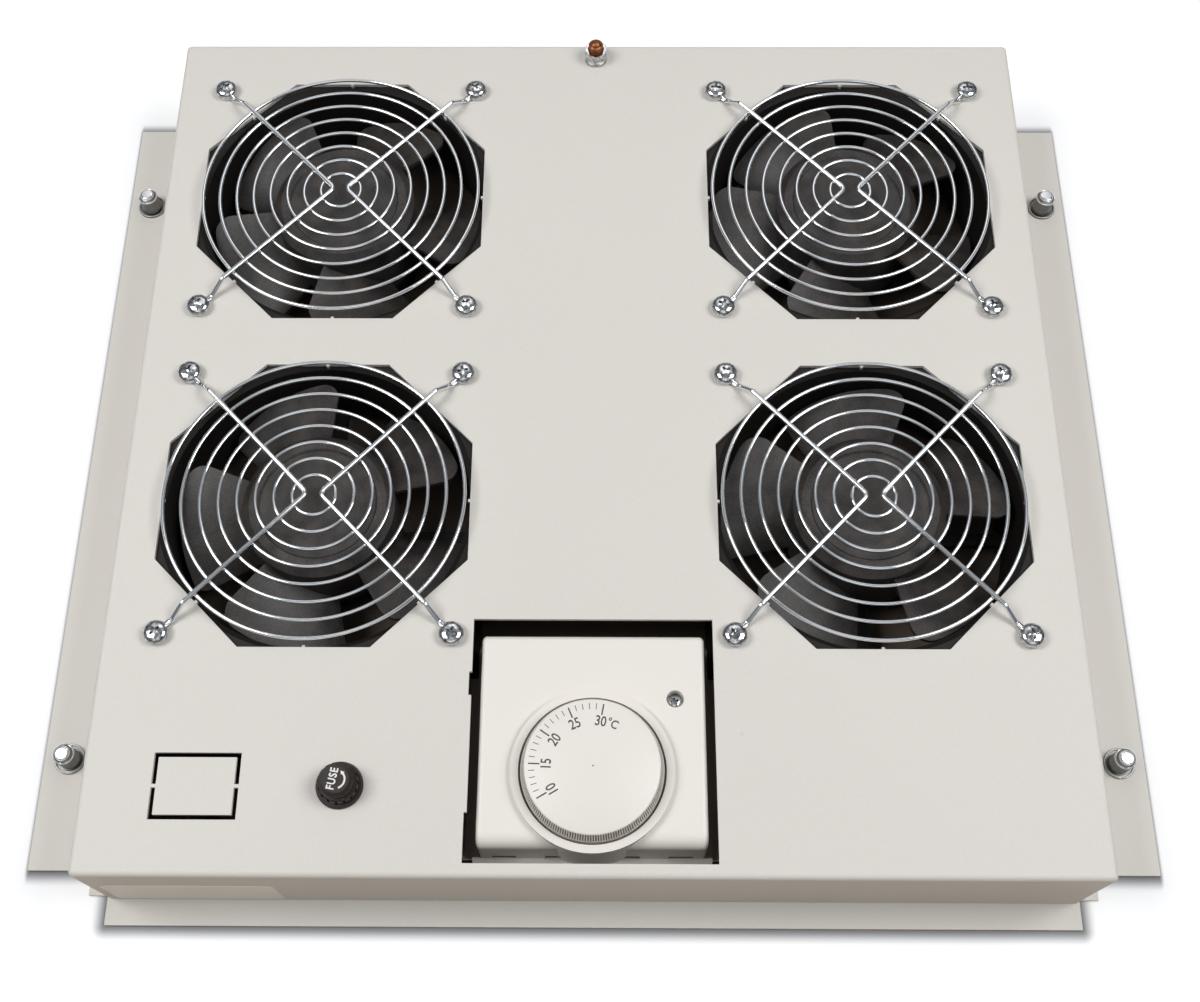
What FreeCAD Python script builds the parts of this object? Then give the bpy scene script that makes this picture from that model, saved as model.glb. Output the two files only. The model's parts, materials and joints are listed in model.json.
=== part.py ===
import FreeCAD, Part
import Sketcher
import math
import os
import re

# Rack fan tray: a folded sheet-steel pan that carries four 120 mm fans, a room
# thermostat and a fuse holder, and hangs from four studs in its side flanges.
# Millimetres. The origin is the middle of the plane under the flanges, with +X to
# the right seen from the fuse side, +Y to the back and +Z up, out of the fans' guards.

Vector = FreeCAD.Vector

SIZES = {
    # Tray panel, folded from one sheet
    "tray_height": 48,
    "sheet": 1.5,
    "bend_radius": 2,
    "end_flange_depth": 9.2,
    "side_flange_width": 30.5,
    "side_flange_end_gap": 10,
    "root_tab_width": 7,
    "root_tab_end_gap": 1.2,
    # Clearances: pressed fits, loose holes and running gaps
    "press_gap": 0.05,
    "hole_gap": 0.25,
    "running_gap": 0.4,
    # How far a cut runs past the solid that it cuts
    "cut_margin": 1,
    # Studs in the side flanges
    "stud_from_wall": 21,
    "stud_from_flange_end": 41,
    "stud_radius": 4,
    "stud_length": 10,
    "stud_tip_radius": 2.3,
    "stud_tip_length": 1.7,
    "stud_collar_radius": 5.8,
    "stud_collar_height": 1,
    "stud_head_radius": 5,
    # Earth point near the back edge
    "earth_from_back": 7.5,
    "earth_radius": 3,
    "earth_length": 10.5,
    "earth_tip": 0.8,
    "earth_head_radius": 4.5,
    "earth_head_height": 1.2,
    "earth_washer_radius": 6,
    "earth_washer_height": 1.2,
    "earth_nut_flats": 10,
    "earth_nut_height": 5,
    # Room round the fans, and how far the openings over them stay inside their edges
    "fan_side_gap": 12.4,
    "fan_gap": 14.6,
    "fan_back_gap": 18.25,
    "opening_margin": 3,
    # One fan housing
    "fan_size": 120,
    "fan_depth": 38,
    "fan_corner_radius": 5,
    "fan_flange": 4,
    "fan_waist_inset": 0.4,
    "duct_wall": 3.1,
    "duct_mouth": 2,
    "fan_hole_inset": 7.6,
    "fan_hole_radius": 2.25,
    "motor_plate_radius": 28,
    "motor_plate_height": 2.5,
    "strut_width": 5,
    "strut_height": 3,
    "strut_root": 1,
    "bearing_tube_radius": 5.8,
    "bearing_tube_height": 22,
    # Motor parts inside the hub
    "shaft_radius": 1.5,
    "shaft_bottom": 3.5,
    "shaft_fit": 0.05,
    "bearing_radius": 4,
    "bearing_height": 4,
    "bearing_inset": 0.5,
    "stator_radius": 23.5,
    "stator_height": 16,
    "stator_bottom": 7,
    "stator_slot": 5,
    "stator_slot_depth": 12,
    "terminal_length": 8,
    "terminal_width": 2.8,
    "terminal_thickness": 0.5,
    "terminal_height": 14,
    "terminal_pitch": 5,
    # Impeller
    "hub_radius": 28.5,
    "hub_bottom": 6,
    "hub_wall": 2.6,
    "hub_below_mouth": 1.2,
    "hub_rim": 3,
    "hub_dish_radius": 21.5,
    "hub_dish_depth": 0.8,
    "boss_radius": 4.5,
    "boss_gap": 1,
    "blade_tip_gap": 2.3,
    "blade_span": 52,
    "blade_thickness": 2,
    "blade_height_root": 24,
    "blade_height_tip": 20,
    "blade_camber": 2.5,
    "blade_middle_height": 19.5,
    "blade_lead_corner": 7,
    "blade_trail_corner": 4,
    "blade_trim": 2,
    # Finger guard and its fasteners
    "ring_inner_radius": 8,
    "ring_margin": 4.7,
    "ring_wire": 1.4,
    "ring_height": 4.7,
    "spoke_radius": 1,
    "weld_depth": 0.3,
    "spoke_apex": 2.3,
    "spoke_bend": 2.5,
    "spoke_drop_start": 15,
    "spoke_drop_end": 10.5,
    "spoke_end": 5.2,
    "eyelet_radius": 4.2,
    "eyelet_thickness": 1.6,
    "eyelet_neck": 8,
    "screw_radius": 2,
    "screw_head_radius": 4.5,
    "screw_head_height": 2.8,
    "screw_head_edge": 1.3,
    "screw_head_bevel": 0.9,
    "screw_head_crown": 2,
    "screw_length": 12,
    "nut_flats": 7,
    "nut_height": 3.2,
    # Thermostat: where it sits, and the opening for it
    "stat_from_front": 8,
    "stat_fan_gap": 0.6,
    "stat_opening_side_gap": 0.5,
    "stat_opening_end_gap": 2.5,
    "stat_opening_shift": -0.6,
    "stat_notch": 1,
    "stat_notch_front": 17,
    "stat_notch_back_start": 58,
    "stat_notch_back_end": 66.5,
    "stat_base_width": 84,
    "stat_base_depth": 81,
    "stat_base_height": 3,
    "stat_cover_side_inset": 2.5,
    "stat_cover_end_inset": 3,
    "stat_cover_height": 21,
    "stat_cover_wall": 2,
    "stat_cover_corner": 2.5,
    "stat_front_round": 5,
    "stat_back_round": 2.5,
    "stat_side_round": 1.8,
    "stat_below_top": 3,
    "vent_height": 4.5,
    "vent_inner_start": 11,
    "vent_inner_end": 16.5,
    "vent_outer_start": 26.5,
    "vent_outer_end": 35,
    # Thermostat dial
    "dial_from_front": 28.7,
    "dial_ring_radius": 28.25,
    "dial_ring_height": 2.5,
    "dial_radius": 25.1,
    "dial_top_radius": 23.2,
    "dial_height": 6,
    "dial_edge": 0.5,
    "spindle_radius": 3,
    "spindle_bottom": 5,
    # Thermostat fasteners and works
    "cover_screw_from_side": 13.1,
    "cover_screw_from_dial": 25.9,
    "cover_screw_well": 3.1,
    "cover_screw_well_depth": 5,
    "cover_screw_head": 2.7,
    "cover_screw_head_height": 2.2,
    "cover_screw_head_edge": 0.6,
    "cover_screw_radius": 1.5,
    "cover_screw_length": 12,
    "pillar_radius": 3.5,
    "base_screw_from_side": 12,
    "base_screw_from_front": 14.5,
    "base_screw_head": 3.2,
    "base_screw_head_height": 2.2,
    "base_screw_length": 5,
    "works_gap": 0.1,
    "block_width": 32,
    "block_depth": 11,
    "block_height": 12,
    "block_from_back": 16.5,
    "block_screw_radius": 2,
    "block_screw_pitch": 10,
    "block_screw_sink": 1,
    "switch_width": 20,
    "switch_depth": 6.5,
    "switch_height": 10,
    "switch_from_side": 20,
    "bimetal_reach": 10,
    "bimetal_width": 6,
    "bimetal_thickness": 0.8,
    "bimetal_from_side": 18,
    "bimetal_foot": 6,
    # Cradle under the thermostat
    "cradle_side_gap": 3,
    "cradle_depth": 66,
    "cradle_front_gap": 3,
    "cradle_fan_gap": 0.15,
    "cradle_foot": 12,
    # Part-punched blank for a switch
    "blank_from_side": 39.5,
    "blank_from_front": 30.5,
    "blank_width": 30,
    "blank_depth": 23,
    "blank_slot": 1.6,
    "blank_bridge": 1.2,
    # Fuse holder
    "fuse_from_cradle": 27.5,
    "fuse_from_front": 30.7,
    "bezel_radius": 8.15,
    "bezel_height": 1.8,
    "bezel_bevel": 0.6,
    "barrel_radius": 6.2,
    "barrel_length": 36,
    "barrel_bore": 4.6,
    "barrel_floor": 3,
    "holder_nut_flats": 17,
    "holder_nut_height": 3,
    "cap_radius": 6.9,
    "cap_lower_height": 4.2,
    "cap_upper_radius": 5.8,
    "cap_height": 7.6,
    "cap_top_radius": 4.6,
    "cap_step_bevel": 0.6,
    "cap_top_bevel": 1.2,
    "cap_sleeve_radius": 4.1,
    "cap_sleeve_length": 6,
    "cap_sleeve_bore": 3,
    "cap_rib_count": 16,
    "cap_rib_depth": 0.5,
    "cap_rib_gap": 1,
    "fuse_radius": 2.6,
    "fuse_glass_radius": 2.35,
    "fuse_length": 20,
    "fuse_end_length": 5,
    "fuse_end_wall": 0.95,
    "tag_width": 4.8,
    "tag_thickness": 0.8,
    "tag_length": 9,
}

# Sizes that follow from those above, written as formulas
DERIVED = {
    "fan_middle_gap": "stat_base_width + 2 * stat_fan_gap",
    "fan_spacing_x": "fan_size + fan_middle_gap",
    "fan_spacing_y": "fan_size + fan_gap",
    "front_zone": "stat_from_front + cradle_front_gap + cradle_depth + cradle_fan_gap",
    "panel_width": "2 * fan_size + fan_middle_gap + 2 * fan_side_gap",
    "panel_depth": "front_zone + 2 * fan_size + fan_gap + fan_back_gap",
    "fan_centre_y": "panel_depth / 2 - fan_back_gap - fan_size - fan_gap / 2",
    "opening_flats": "fan_size - 2 * opening_margin",
    "fan_hole_pitch": "fan_size - 2 * fan_hole_inset",
    "fan_waist_radius": "fan_size / 2 - fan_waist_inset",
    "duct_radius": "fan_waist_radius - duct_wall",
    "blade_tip_radius": "duct_radius - blade_tip_gap",
    "ring_outer_radius": "fan_size / 2 - ring_margin",
    "stud_spacing_x": "panel_width + 2 * stud_from_wall",
    "stud_spacing_y": "panel_depth - 2 * side_flange_end_gap - 2 * stud_from_flange_end",
    "stat_centre_y": "stat_from_front + stat_base_depth / 2 - panel_depth / 2",
    "stat_opening_width": "stat_base_width + 2 * stat_opening_side_gap",
    "stat_opening_depth": "stat_base_depth + 2 * stat_opening_end_gap",
    "stat_cover_width": "stat_base_width - 2 * stat_cover_side_inset",
    "stat_cover_depth": "stat_base_depth - 2 * stat_cover_end_inset",
    "dial_from_centre": "dial_from_front - stat_base_depth / 2",
    "cover_screw_x": "stat_base_width / 2 - cover_screw_from_side",
    "cover_screw_y": "dial_from_centre + cover_screw_from_dial",
    "base_screw_x": "stat_base_width / 2 - base_screw_from_side",
    "base_screw_y": "base_screw_from_front - stat_base_depth / 2",
    "block_y": "stat_base_depth / 2 - block_from_back",
    "switch_x": "stat_base_width / 2 - switch_from_side",
    "bimetal_x": "bimetal_from_side - stat_base_width / 2",
    "bimetal_length": "bimetal_reach - bimetal_x",
    "cradle_inner_width": "stat_base_width + 2 * cradle_side_gap",
    "blank_x": "blank_from_side - panel_width / 2",
    "blank_y": "blank_from_front - panel_depth / 2",
    "fuse_x": "0 - cradle_inner_width / 2 - sheet - cradle_foot - fuse_from_cradle",
    "fuse_y": "fuse_from_front - panel_depth / 2",
}

FAN_CORNERS = {
    "front_left": (-1, -1, 14),
    "front_right": (1, -1, -3),
    "back_left": (-1, 1, 40),
    "back_right": (1, 1, 22),
}
RING_COUNT = 8
WIRE_SIDES = 8
BLADE_COUNT = 5
STATOR_SLOTS = 4
TERMINAL_ANGLE = 135
TOUCH = 0.001

PANEL_UNDER = "(tray_height - sheet)"
FAN_BOTTOM = "(tray_height - sheet - fan_depth)"
STAT_FACE = "(tray_height - stat_below_top)"
STAT_BASE_TOP = "(tray_height - stat_below_top - stat_cover_height)"

doc = FreeCAD.newDocument("rack_fan_tray")
sheet = doc.addObject("Spreadsheet::Sheet", "Sizes")
nodes = []


def fill_sheet():
    """Write each size or its formula into its own cell, with its name as the cell's alias."""
    contents = {**SIZES, **{name: "=" + text for name, text in DERIVED.items()}}
    for row, (name, content) in enumerate(contents.items(), start=1):
        sheet.set(f"A{row}", name)
        sheet.set(f"B{row}", str(content))
        sheet.setAlias(f"B{row}", name)
    doc.recompute()


def formula(text):
    """Turn the names of sizes in a text into references to their cells."""
    known = {*SIZES, *DERIVED}
    return re.sub(r"[a-z_]+", lambda word: "Sizes." + word[0] if word[0] in known else word[0], text)


def size(text):
    """The value of a formula in millimetres, as the sheet has it now."""
    return float(sheet.evalExpression(formula(text)))


def bind(item, prop, text):
    """Tie one property of an object to a formula."""
    item.setExpression(prop, formula(text))


def place(item, x="0", y="0", z="0"):
    """Tie an object's position to formulas."""
    for axis, text in zip("xyz", (x, y, z)):
        bind(item, ".Placement.Base." + axis, text)


# Sketches


def sketch_on(body, height="0", role="XY_Plane"):
    """A sketch on one of a body's own planes, lifted off it by a formula."""
    plane = [item for item in body.Origin.OriginFeatures if item.Role == role][0]
    sketch = body.newObject("Sketcher::SketchObject", body.Name + "_sketch")
    sketch.AttachmentSupport = [(plane, "")]
    sketch.MapMode = "FlatFace"
    bind(sketch, "AttachmentOffset.Base.z", height)
    return sketch


def fix_point(sketch, edge, point, x, y):
    """Hold one point of a sketch edge at two formulas."""
    for kind, text in (("DistanceX", x), ("DistanceY", y)):
        number = sketch.addConstraint(Sketcher.Constraint(kind, edge, point, size(text)))
        bind(sketch, f"Constraints[{number}]", text)


def outline(sketch, corners):
    """A closed outline of straight lines whose corners lie at pairs of formulas."""
    first = sketch.GeometryCount
    spots = [Vector(size(x), size(y), 0) for x, y in corners]
    for start, end in zip(spots, spots[1:] + spots[:1]):
        sketch.addGeometry(Part.LineSegment(start, end), False)
    for index, (x, y) in enumerate(corners):
        following = first + (index + 1) % len(corners)
        sketch.addConstraint(Sketcher.Constraint("Coincident", first + index, 2, following, 1))
        fix_point(sketch, first + index, 1, x, y)


def rectangle(sketch, left, near, right, far):
    outline(sketch, [(left, near), (right, near), (right, far), (left, far)])


def centred_rectangle(sketch, width, depth):
    rectangle(sketch, f"-{width} / 2", f"-{depth} / 2", f"{width} / 2", f"{depth} / 2")


def circle(sketch, x, y, radius):
    """A circle whose centre and radius are formulas."""
    centre = Vector(size(x), size(y), 0)
    edge = sketch.addGeometry(Part.Circle(centre, Vector(0, 0, 1), size(radius)), False)
    fix_point(sketch, edge, 3, x, y)
    number = sketch.addConstraint(Sketcher.Constraint("Radius", edge, size(radius)))
    bind(sketch, f"Constraints[{number}]", radius)


def polygon(sketch, x, y, flats, sides):
    """A regular polygon from its size across flats, with one flat square to the X axis."""
    step = 360 / sides
    corner = f"{flats} / 2 / cos({step / 2} deg)"
    turns = [step * (number + 0.5) for number in range(sides)]
    outline(sketch, [(f"{x} + {corner} * cos({a} deg)", f"{y} + {corner} * sin({a} deg)") for a in turns])


# Features


def new_body(label):
    body = doc.addObject("PartDesign::Body", label)
    nodes.append(body)
    return body


def pad(body, sketch, length):
    """Grow a sketch upwards."""
    sketch.Visibility = False
    feature = body.newObject("PartDesign::Pad", body.Name + "_pad")
    feature.Profile = sketch
    bind(feature, "Length", length)
    doc.recompute()
    return feature


def cut(body, sketch, depth, upwards=False):
    """Cut a sketch into the solid, downwards unless told otherwise."""
    before = body.Shape.Volume
    feature = body.newObject("PartDesign::Pocket", body.Name + "_cut")
    feature.Profile = sketch
    feature.Reversed = upwards
    bind(feature, "Length", depth)
    doc.recompute()
    if body.Shape.Volume >= before:
        raise RuntimeError(f"{body.Name}: a cut takes nothing away")
    return feature


def turn(body, profile):
    """Turn a profile of (radius, height) formulas about the body's Z axis."""
    sketch = sketch_on(body, role="XZ_Plane")
    outline(sketch, profile)
    feature = body.newObject("PartDesign::Revolution", body.Name + "_turned")
    feature.Profile = sketch
    feature.ReferenceAxis = (sketch, ["V_Axis"])
    feature.Angle = 360
    doc.recompute()
    return feature


def pattern(body, feature, count):
    """Repeat a feature in a full circle about the body's Z axis."""
    axis = [item for item in body.Origin.OriginFeatures if item.Role == "Z_Axis"][0]
    ring = body.newObject("PartDesign::PolarPattern", body.Name + "_pattern")
    ring.Originals = [feature]
    ring.Axis = (axis, [""])
    ring.Angle = 360
    ring.Occurrences = count
    body.Tip = ring
    doc.recompute()
    return ring


def dress(body, kind, edges, amount):
    """Round or bevel the edges of the solid that a test picks."""
    base = body.Tip
    names = [f"Edge{i}" for i, edge in enumerate(base.Shape.Edges, start=1) if edges(edge)]
    feature = body.newObject("PartDesign::" + kind, body.Name + "_" + kind.lower())
    feature.Base = (base, names)
    bind(feature, "Radius" if kind == "Fillet" else "Size", amount)
    doc.recompute()
    return feature


def is_upright(edge):
    box = edge.BoundBox
    return box.ZLength > TOUCH and box.XLength < TOUCH and box.YLength < TOUCH


def lies_at(edge, height):
    box = edge.BoundBox
    return box.ZLength < TOUCH and abs(box.ZMin - height) < TOUCH


def lies_on_side(edge, reach):
    """Whether an edge lies in the plane at the far left or the far right."""
    box = edge.BoundBox
    return box.XLength < TOUCH and abs(abs(box.XMin) - reach) < TOUCH


def is_circle(edge, radius, height):
    curve = edge.Curve
    return lies_at(edge, height) and hasattr(curve, "Radius") and abs(curve.Radius - radius) < TOUCH


def group(label, piece, spots):
    """Copies of one master piece at several places, as separate solids of one node."""
    solids = []
    for spot in spots:
        solid = piece.Shape.copy()
        solid.translate(Vector(*spot))
        solids.append(solid)
    node = doc.addObject("Part::Feature", label)
    node.Shape = Part.makeCompound(solids)
    nodes.append(node)
    return node


def master(label):
    """A body that only lends its shape to a group."""
    return doc.addObject("PartDesign::Body", label)


def fan_spot(corner):
    """The formulas of a fan's centre."""
    side, end, _ = FAN_CORNERS[corner]
    return f"{side} * fan_spacing_x / 2", f"fan_centre_y + {end} * fan_spacing_y / 2"


def fan_centres():
    return [tuple(size(text) for text in fan_spot(corner)) for corner in FAN_CORNERS]


def screw_places(height):
    """The sixteen guard screws: the corners of each fan's hole square, at one height."""
    half = size("fan_hole_pitch / 2")
    signs = ((-1, -1), (1, -1), (1, 1), (-1, 1))
    return [(x + sx * half, y + sy * half, height) for x, y in fan_centres() for sx, sy in signs]


# Tray


def tray_panel():
    """The pan: folded walls and flanges, then every cut-out."""
    body = new_body("tray_panel")
    block = sketch_on(body)
    centred_rectangle(block, "panel_width", "panel_depth")
    pad(body, block, "tray_height")
    top = size("tray_height")
    dress(body, "Fillet", lambda edge: is_upright(edge) or lies_at(edge, top), "bend_radius")
    hollow = sketch_on(body)
    centred_rectangle(hollow, "(panel_width - 2 * sheet)", "(panel_depth - 2 * sheet)")
    cut(body, hollow, PANEL_UNDER, upwards=True)
    add_flanges(body)
    for corner in FAN_CORNERS:
        cut_fan_opening(body, *fan_spot(corner))
    cut_thermostat_opening(body)
    cut_switch_blank(body)
    small = sketch_on(body, "tray_height")
    circle(small, "fuse_x", "fuse_y", "barrel_radius + press_gap")
    circle(small, "0", "panel_depth / 2 - earth_from_back", "earth_radius + press_gap")
    cut(body, small, "sheet")
    holes = sketch_on(body, "sheet")
    for side in (-1, 1):
        for end in (-1, 1):
            x, y = f"{side} * stud_spacing_x / 2", f"{end} * stud_spacing_y / 2"
            circle(holes, x, y, "stud_head_radius + press_gap")
    cut(body, holes, "sheet")


def add_flanges(body):
    """Front and back flanges as wide as the pan, and side flanges with their root tabs."""
    wall_x = "panel_width / 2 - sheet / 2"
    wall_y = "panel_depth / 2 - sheet / 2"
    for end in (-1, 1):
        flange = sketch_on(body)
        rim = f"{end} * (panel_depth / 2 + end_flange_depth)"
        rectangle(flange, "-panel_width / 2", f"{end} * ({wall_y})", "panel_width / 2", rim)
        pad(body, flange, "sheet")
    tab_x = "panel_width / 2 + root_tab_width"
    rim_x = "panel_width / 2 + side_flange_width"
    tab_y = "panel_depth / 2 - root_tab_end_gap"
    rim_y = "panel_depth / 2 - side_flange_end_gap"
    for side in (-1, 1):
        half = [(wall_x, tab_y), (tab_x, tab_y), (tab_x, rim_y), (rim_x, rim_y)]
        corners = [(f"{side} * ({x})", f"-({y})") for x, y in half]
        corners += [(f"{side} * ({x})", y) for x, y in reversed(half)]
        flange = sketch_on(body)
        outline(flange, corners)
        pad(body, flange, "sheet")


def cut_fan_opening(body, x, y):
    """An octagon with the four screw holes of the fan under it."""
    sketch = sketch_on(body, "tray_height")
    polygon(sketch, x, y, "opening_flats", 8)
    half = "fan_hole_pitch / 2"
    for side in (-1, 1):
        for end in (-1, 1):
            circle(sketch, f"{x} + {side} * {half}", f"{y} + {end} * {half}", "fan_hole_radius")
    cut(body, sketch, "sheet")


def cut_thermostat_opening(body):
    """The opening round the thermostat, with two shallow notches in its left edge."""
    left = "-stat_opening_width / 2"
    notched = "-stat_opening_width / 2 - stat_notch"
    right = "stat_opening_width / 2"
    near = "stat_centre_y + stat_opening_shift - stat_opening_depth / 2"
    far = "stat_centre_y + stat_opening_shift + stat_opening_depth / 2"
    corners = [(notched, near), (right, near), (right, far), (left, far)]
    corners += [(left, f"{near} + stat_notch_back_end"), (notched, f"{near} + stat_notch_back_end")]
    corners += [(notched, f"{near} + stat_notch_back_start"), (left, f"{near} + stat_notch_back_start")]
    corners += [(left, f"{near} + stat_notch_front"), (notched, f"{near} + stat_notch_front")]
    sketch = sketch_on(body, "tray_height")
    outline(sketch, corners)
    cut(body, sketch, "sheet")


def cut_switch_blank(body):
    """Two U-shaped slots that leave a blank hanging on two bridges."""
    sketch = sketch_on(body, "tray_height")
    outer = "blank_width / 2"
    inner = "blank_width / 2 - blank_slot"
    for end in (-1, 1):
        bridge = f"blank_y + {end} * blank_bridge / 2"
        near = f"blank_y + {end} * (blank_depth / 2 - blank_slot)"
        far = f"blank_y + {end} * blank_depth / 2"
        left = [(f"blank_x - ({outer})", bridge), (f"blank_x - ({outer})", far)]
        right = [(f"blank_x + ({outer})", far), (f"blank_x + ({outer})", bridge)]
        back = [(f"blank_x + ({inner})", bridge), (f"blank_x + ({inner})", near)]
        back += [(f"blank_x - ({inner})", near), (f"blank_x - ({inner})", bridge)]
        outline(sketch, left + right + back)
    cut(body, sketch, "sheet")


def flange_studs():
    """Four studs pressed into the side flanges: flush head, collar, thread and bevelled tip."""
    stud = master("stud_master")
    top = "(sheet + stud_length)"
    shoulder = "(sheet + stud_collar_height)"
    profile = [("0", "0"), ("stud_head_radius", "0"), ("stud_head_radius", "sheet")]
    profile += [("stud_collar_radius", "sheet"), ("stud_collar_radius", shoulder), ("stud_radius", shoulder)]
    profile += [("stud_radius", f"{top} - stud_tip_length"), ("stud_tip_radius", top), ("0", top)]
    turn(stud, profile)
    half_x, half_y = size("stud_spacing_x / 2"), size("stud_spacing_y / 2")
    group("flange_studs", stud, [(x, y, 0) for x in (-half_x, half_x) for y in (-half_y, half_y)])


def earth_point():
    """A stud welded under the panel, with a washer and a nut on top."""
    y = "panel_depth / 2 - earth_from_back"
    head = "(0 - sheet - earth_head_height)"
    stud = new_body("earth_stud")
    profile = [("0", head), ("earth_head_radius", head), ("earth_head_radius", "0 - sheet")]
    profile += [("earth_radius", "0 - sheet"), ("earth_radius", "earth_length - earth_tip")]
    profile += [("earth_radius - earth_tip", "earth_length"), ("0", "earth_length")]
    turn(stud, profile)
    place(stud, "0", y, "tray_height")
    washer = new_body("earth_washer")
    ring = sketch_on(washer)
    circle(ring, "0", "0", "earth_washer_radius")
    circle(ring, "0", "0", "earth_radius + press_gap")
    pad(washer, ring, "earth_washer_height")
    place(washer, "0", y, "tray_height")
    nut = new_body("earth_nut")
    flats = sketch_on(nut)
    polygon(flats, "0", "0", "earth_nut_flats", 6)
    circle(flats, "0", "0", "earth_radius + press_gap")
    pad(nut, flats, "earth_nut_height")
    place(nut, "0", y, "tray_height + earth_washer_height")


# Fans


def fan_frame(corner):
    """A square housing: two flanges, a round waist, the duct, and a motor plate on four struts."""
    body = new_body("fan_frame_" + corner)
    block = sketch_on(body)
    centred_rectangle(block, "fan_size", "fan_size")
    pad(body, block, "fan_depth")
    dress(body, "Fillet", is_upright, "fan_corner_radius")
    waist = sketch_on(body, "fan_depth - fan_flange")
    centred_rectangle(waist, "(fan_size + 2 * cut_margin)", "(fan_size + 2 * cut_margin)")
    circle(waist, "0", "0", "fan_waist_radius")
    cut(body, waist, "fan_depth - 2 * fan_flange")
    duct = sketch_on(body, "fan_depth")
    circle(duct, "0", "0", "duct_radius")
    cut(body, duct, "fan_depth")
    mouth, radius = size("fan_depth"), size("duct_radius")
    dress(body, "Chamfer", lambda edge: is_circle(edge, radius, mouth), "duct_mouth")
    screw = sketch_on(body, "fan_depth")
    circle(screw, "fan_hole_pitch / 2", "fan_hole_pitch / 2", "fan_hole_radius")
    pattern(body, cut(body, screw, "fan_depth"), 4)
    reach = "duct_radius + strut_root"
    for along, across in ((reach, "strut_width / 2"), ("strut_width / 2", reach)):
        strut = sketch_on(body)
        rectangle(strut, f"-({along})", f"-({across})", along, across)
        pad(body, strut, "strut_height")
    plate = sketch_on(body)
    circle(plate, "0", "0", "motor_plate_radius")
    pad(body, plate, "motor_plate_height")
    tube = sketch_on(body)
    circle(tube, "0", "0", "bearing_tube_radius")
    pad(body, tube, "motor_plate_height + bearing_tube_height")
    bore = sketch_on(body, "motor_plate_height + bearing_tube_height")
    circle(bore, "0", "0", "bearing_radius + press_gap")
    cut(body, bore, "bearing_tube_height")
    x, y = fan_spot(corner)
    place(body, x, y, FAN_BOTTOM)


def ring_face(points):
    """A face in the XZ plane from (radius, height) values."""
    wire = Part.makePolygon([Vector(x, 0, z) for x, z in points + points[:1]])
    return Part.Face(wire)


def turned(points):
    """A face of (radius, height) values turned about Z."""
    return ring_face(points).revolve(Vector(0, 0, 0), Vector(0, 0, 1), 360)


def hub():
    """The hub: a cup with a bevelled rim, a dished face and a boss inside for the shaft."""
    top = size("fan_depth - hub_below_mouth")
    bottom, outer, wall = size("hub_bottom"), size("hub_radius"), size("hub_wall")
    rim, dish, boss = size("hub_rim"), size("hub_dish_radius"), size("boss_radius")
    dished, bore = top - size("hub_dish_depth"), size("shaft_radius + press_gap")
    ceiling = dished - wall
    boss_end = size("motor_plate_height + bearing_tube_height + boss_gap")
    points = [(0, dished), (dish, dished), (dish + size("hub_dish_depth"), top), (outer - rim, top)]
    points += [(outer, top - rim), (outer, bottom), (outer - wall, bottom), (outer - wall, ceiling)]
    points += [(boss, ceiling), (boss, boss_end), (bore, boss_end), (bore, ceiling), (0, ceiling)]
    return turned(points)


def blade_section(reach):
    """The blade's cross-section at one distance from the axis: a cambered strip of even thickness."""
    root, tip = size("hub_radius"), size("blade_tip_radius")
    along = (reach - root) / (tip - root)
    rise = size("blade_height_root") * (1 - along) + size("blade_height_tip") * along
    half = reach * math.tan(math.radians(size("blade_span / 2"))) + size("blade_trim")
    level, camber, skin = size("blade_middle_height"), size("blade_camber"), size("blade_thickness / 2")
    edges = []
    for offset in (skin, -skin):
        ends = [Vector(reach, side * half, level - side * rise / 2 + offset) for side in (-1, 1)]
        middle = Vector(reach, 0, level + camber + offset)
        edges.append(Part.Arc(ends[0], middle, ends[1]))
    upper, lower = edges
    left = Part.LineSegment(lower.StartPoint, upper.StartPoint)
    right = Part.LineSegment(upper.EndPoint, lower.EndPoint)
    return Part.Wire([part.toShape() for part in (upper, right, lower, left)])


def blade_plan():
    """The blade's outline from above, as a tall prism with rounded outer corners."""
    inner, outer = size("hub_radius - hub_wall / 2"), size("blade_tip_radius")
    half, height = size("blade_span / 2"), size("fan_depth")
    band = [(inner, 0), (outer, 0), (outer, height), (inner, height)]
    prism = ring_face(band).revolve(Vector(0, 0, 0), Vector(0, 0, 1), 2 * half)
    prism.rotate(Vector(0, 0, 0), Vector(0, 0, 1), -half)
    for side, corner in ((-1, "blade_lead_corner"), (1, "blade_trail_corner")):
        angle = math.radians(side * half)
        spot = Vector(outer * math.cos(angle), outer * math.sin(angle), height / 2)
        edge = min(prism.Edges, key=lambda item: item.CenterOfMass.distanceToPoint(spot))
        prism = prism.makeFillet(size(corner), [edge])
    return prism


def blade():
    """One blade: lofted outwards through three sections, then trimmed to its outline."""
    inner, outer = size("hub_radius - hub_wall - blade_trim"), size("blade_tip_radius + blade_trim")
    sections = [blade_section(reach) for reach in (inner, (inner + outer) / 2, outer)]
    return Part.makeLoft(sections, True).common(blade_plan())


def impeller_shape():
    """The hub with its five blades as one moulding."""
    blades = []
    for number in range(BLADE_COUNT):
        copy = blade()
        copy.rotate(Vector(0, 0, 0), Vector(0, 0, 1), 360 / BLADE_COUNT * number)
        blades.append(copy)
    return hub().fuse(blades)


def fan_impeller(corner, shape):
    node = doc.addObject("Part::Feature", "fan_impeller_" + corner)
    node.Shape = shape
    x, y = fan_spot(corner)
    half_span = "blade_span / 2"
    place(node, x, y, FAN_BOTTOM)
    bind(node, ".Placement.Rotation.Angle", f"{FAN_CORNERS[corner][2]} + {half_span}")
    nodes.append(node)


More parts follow.
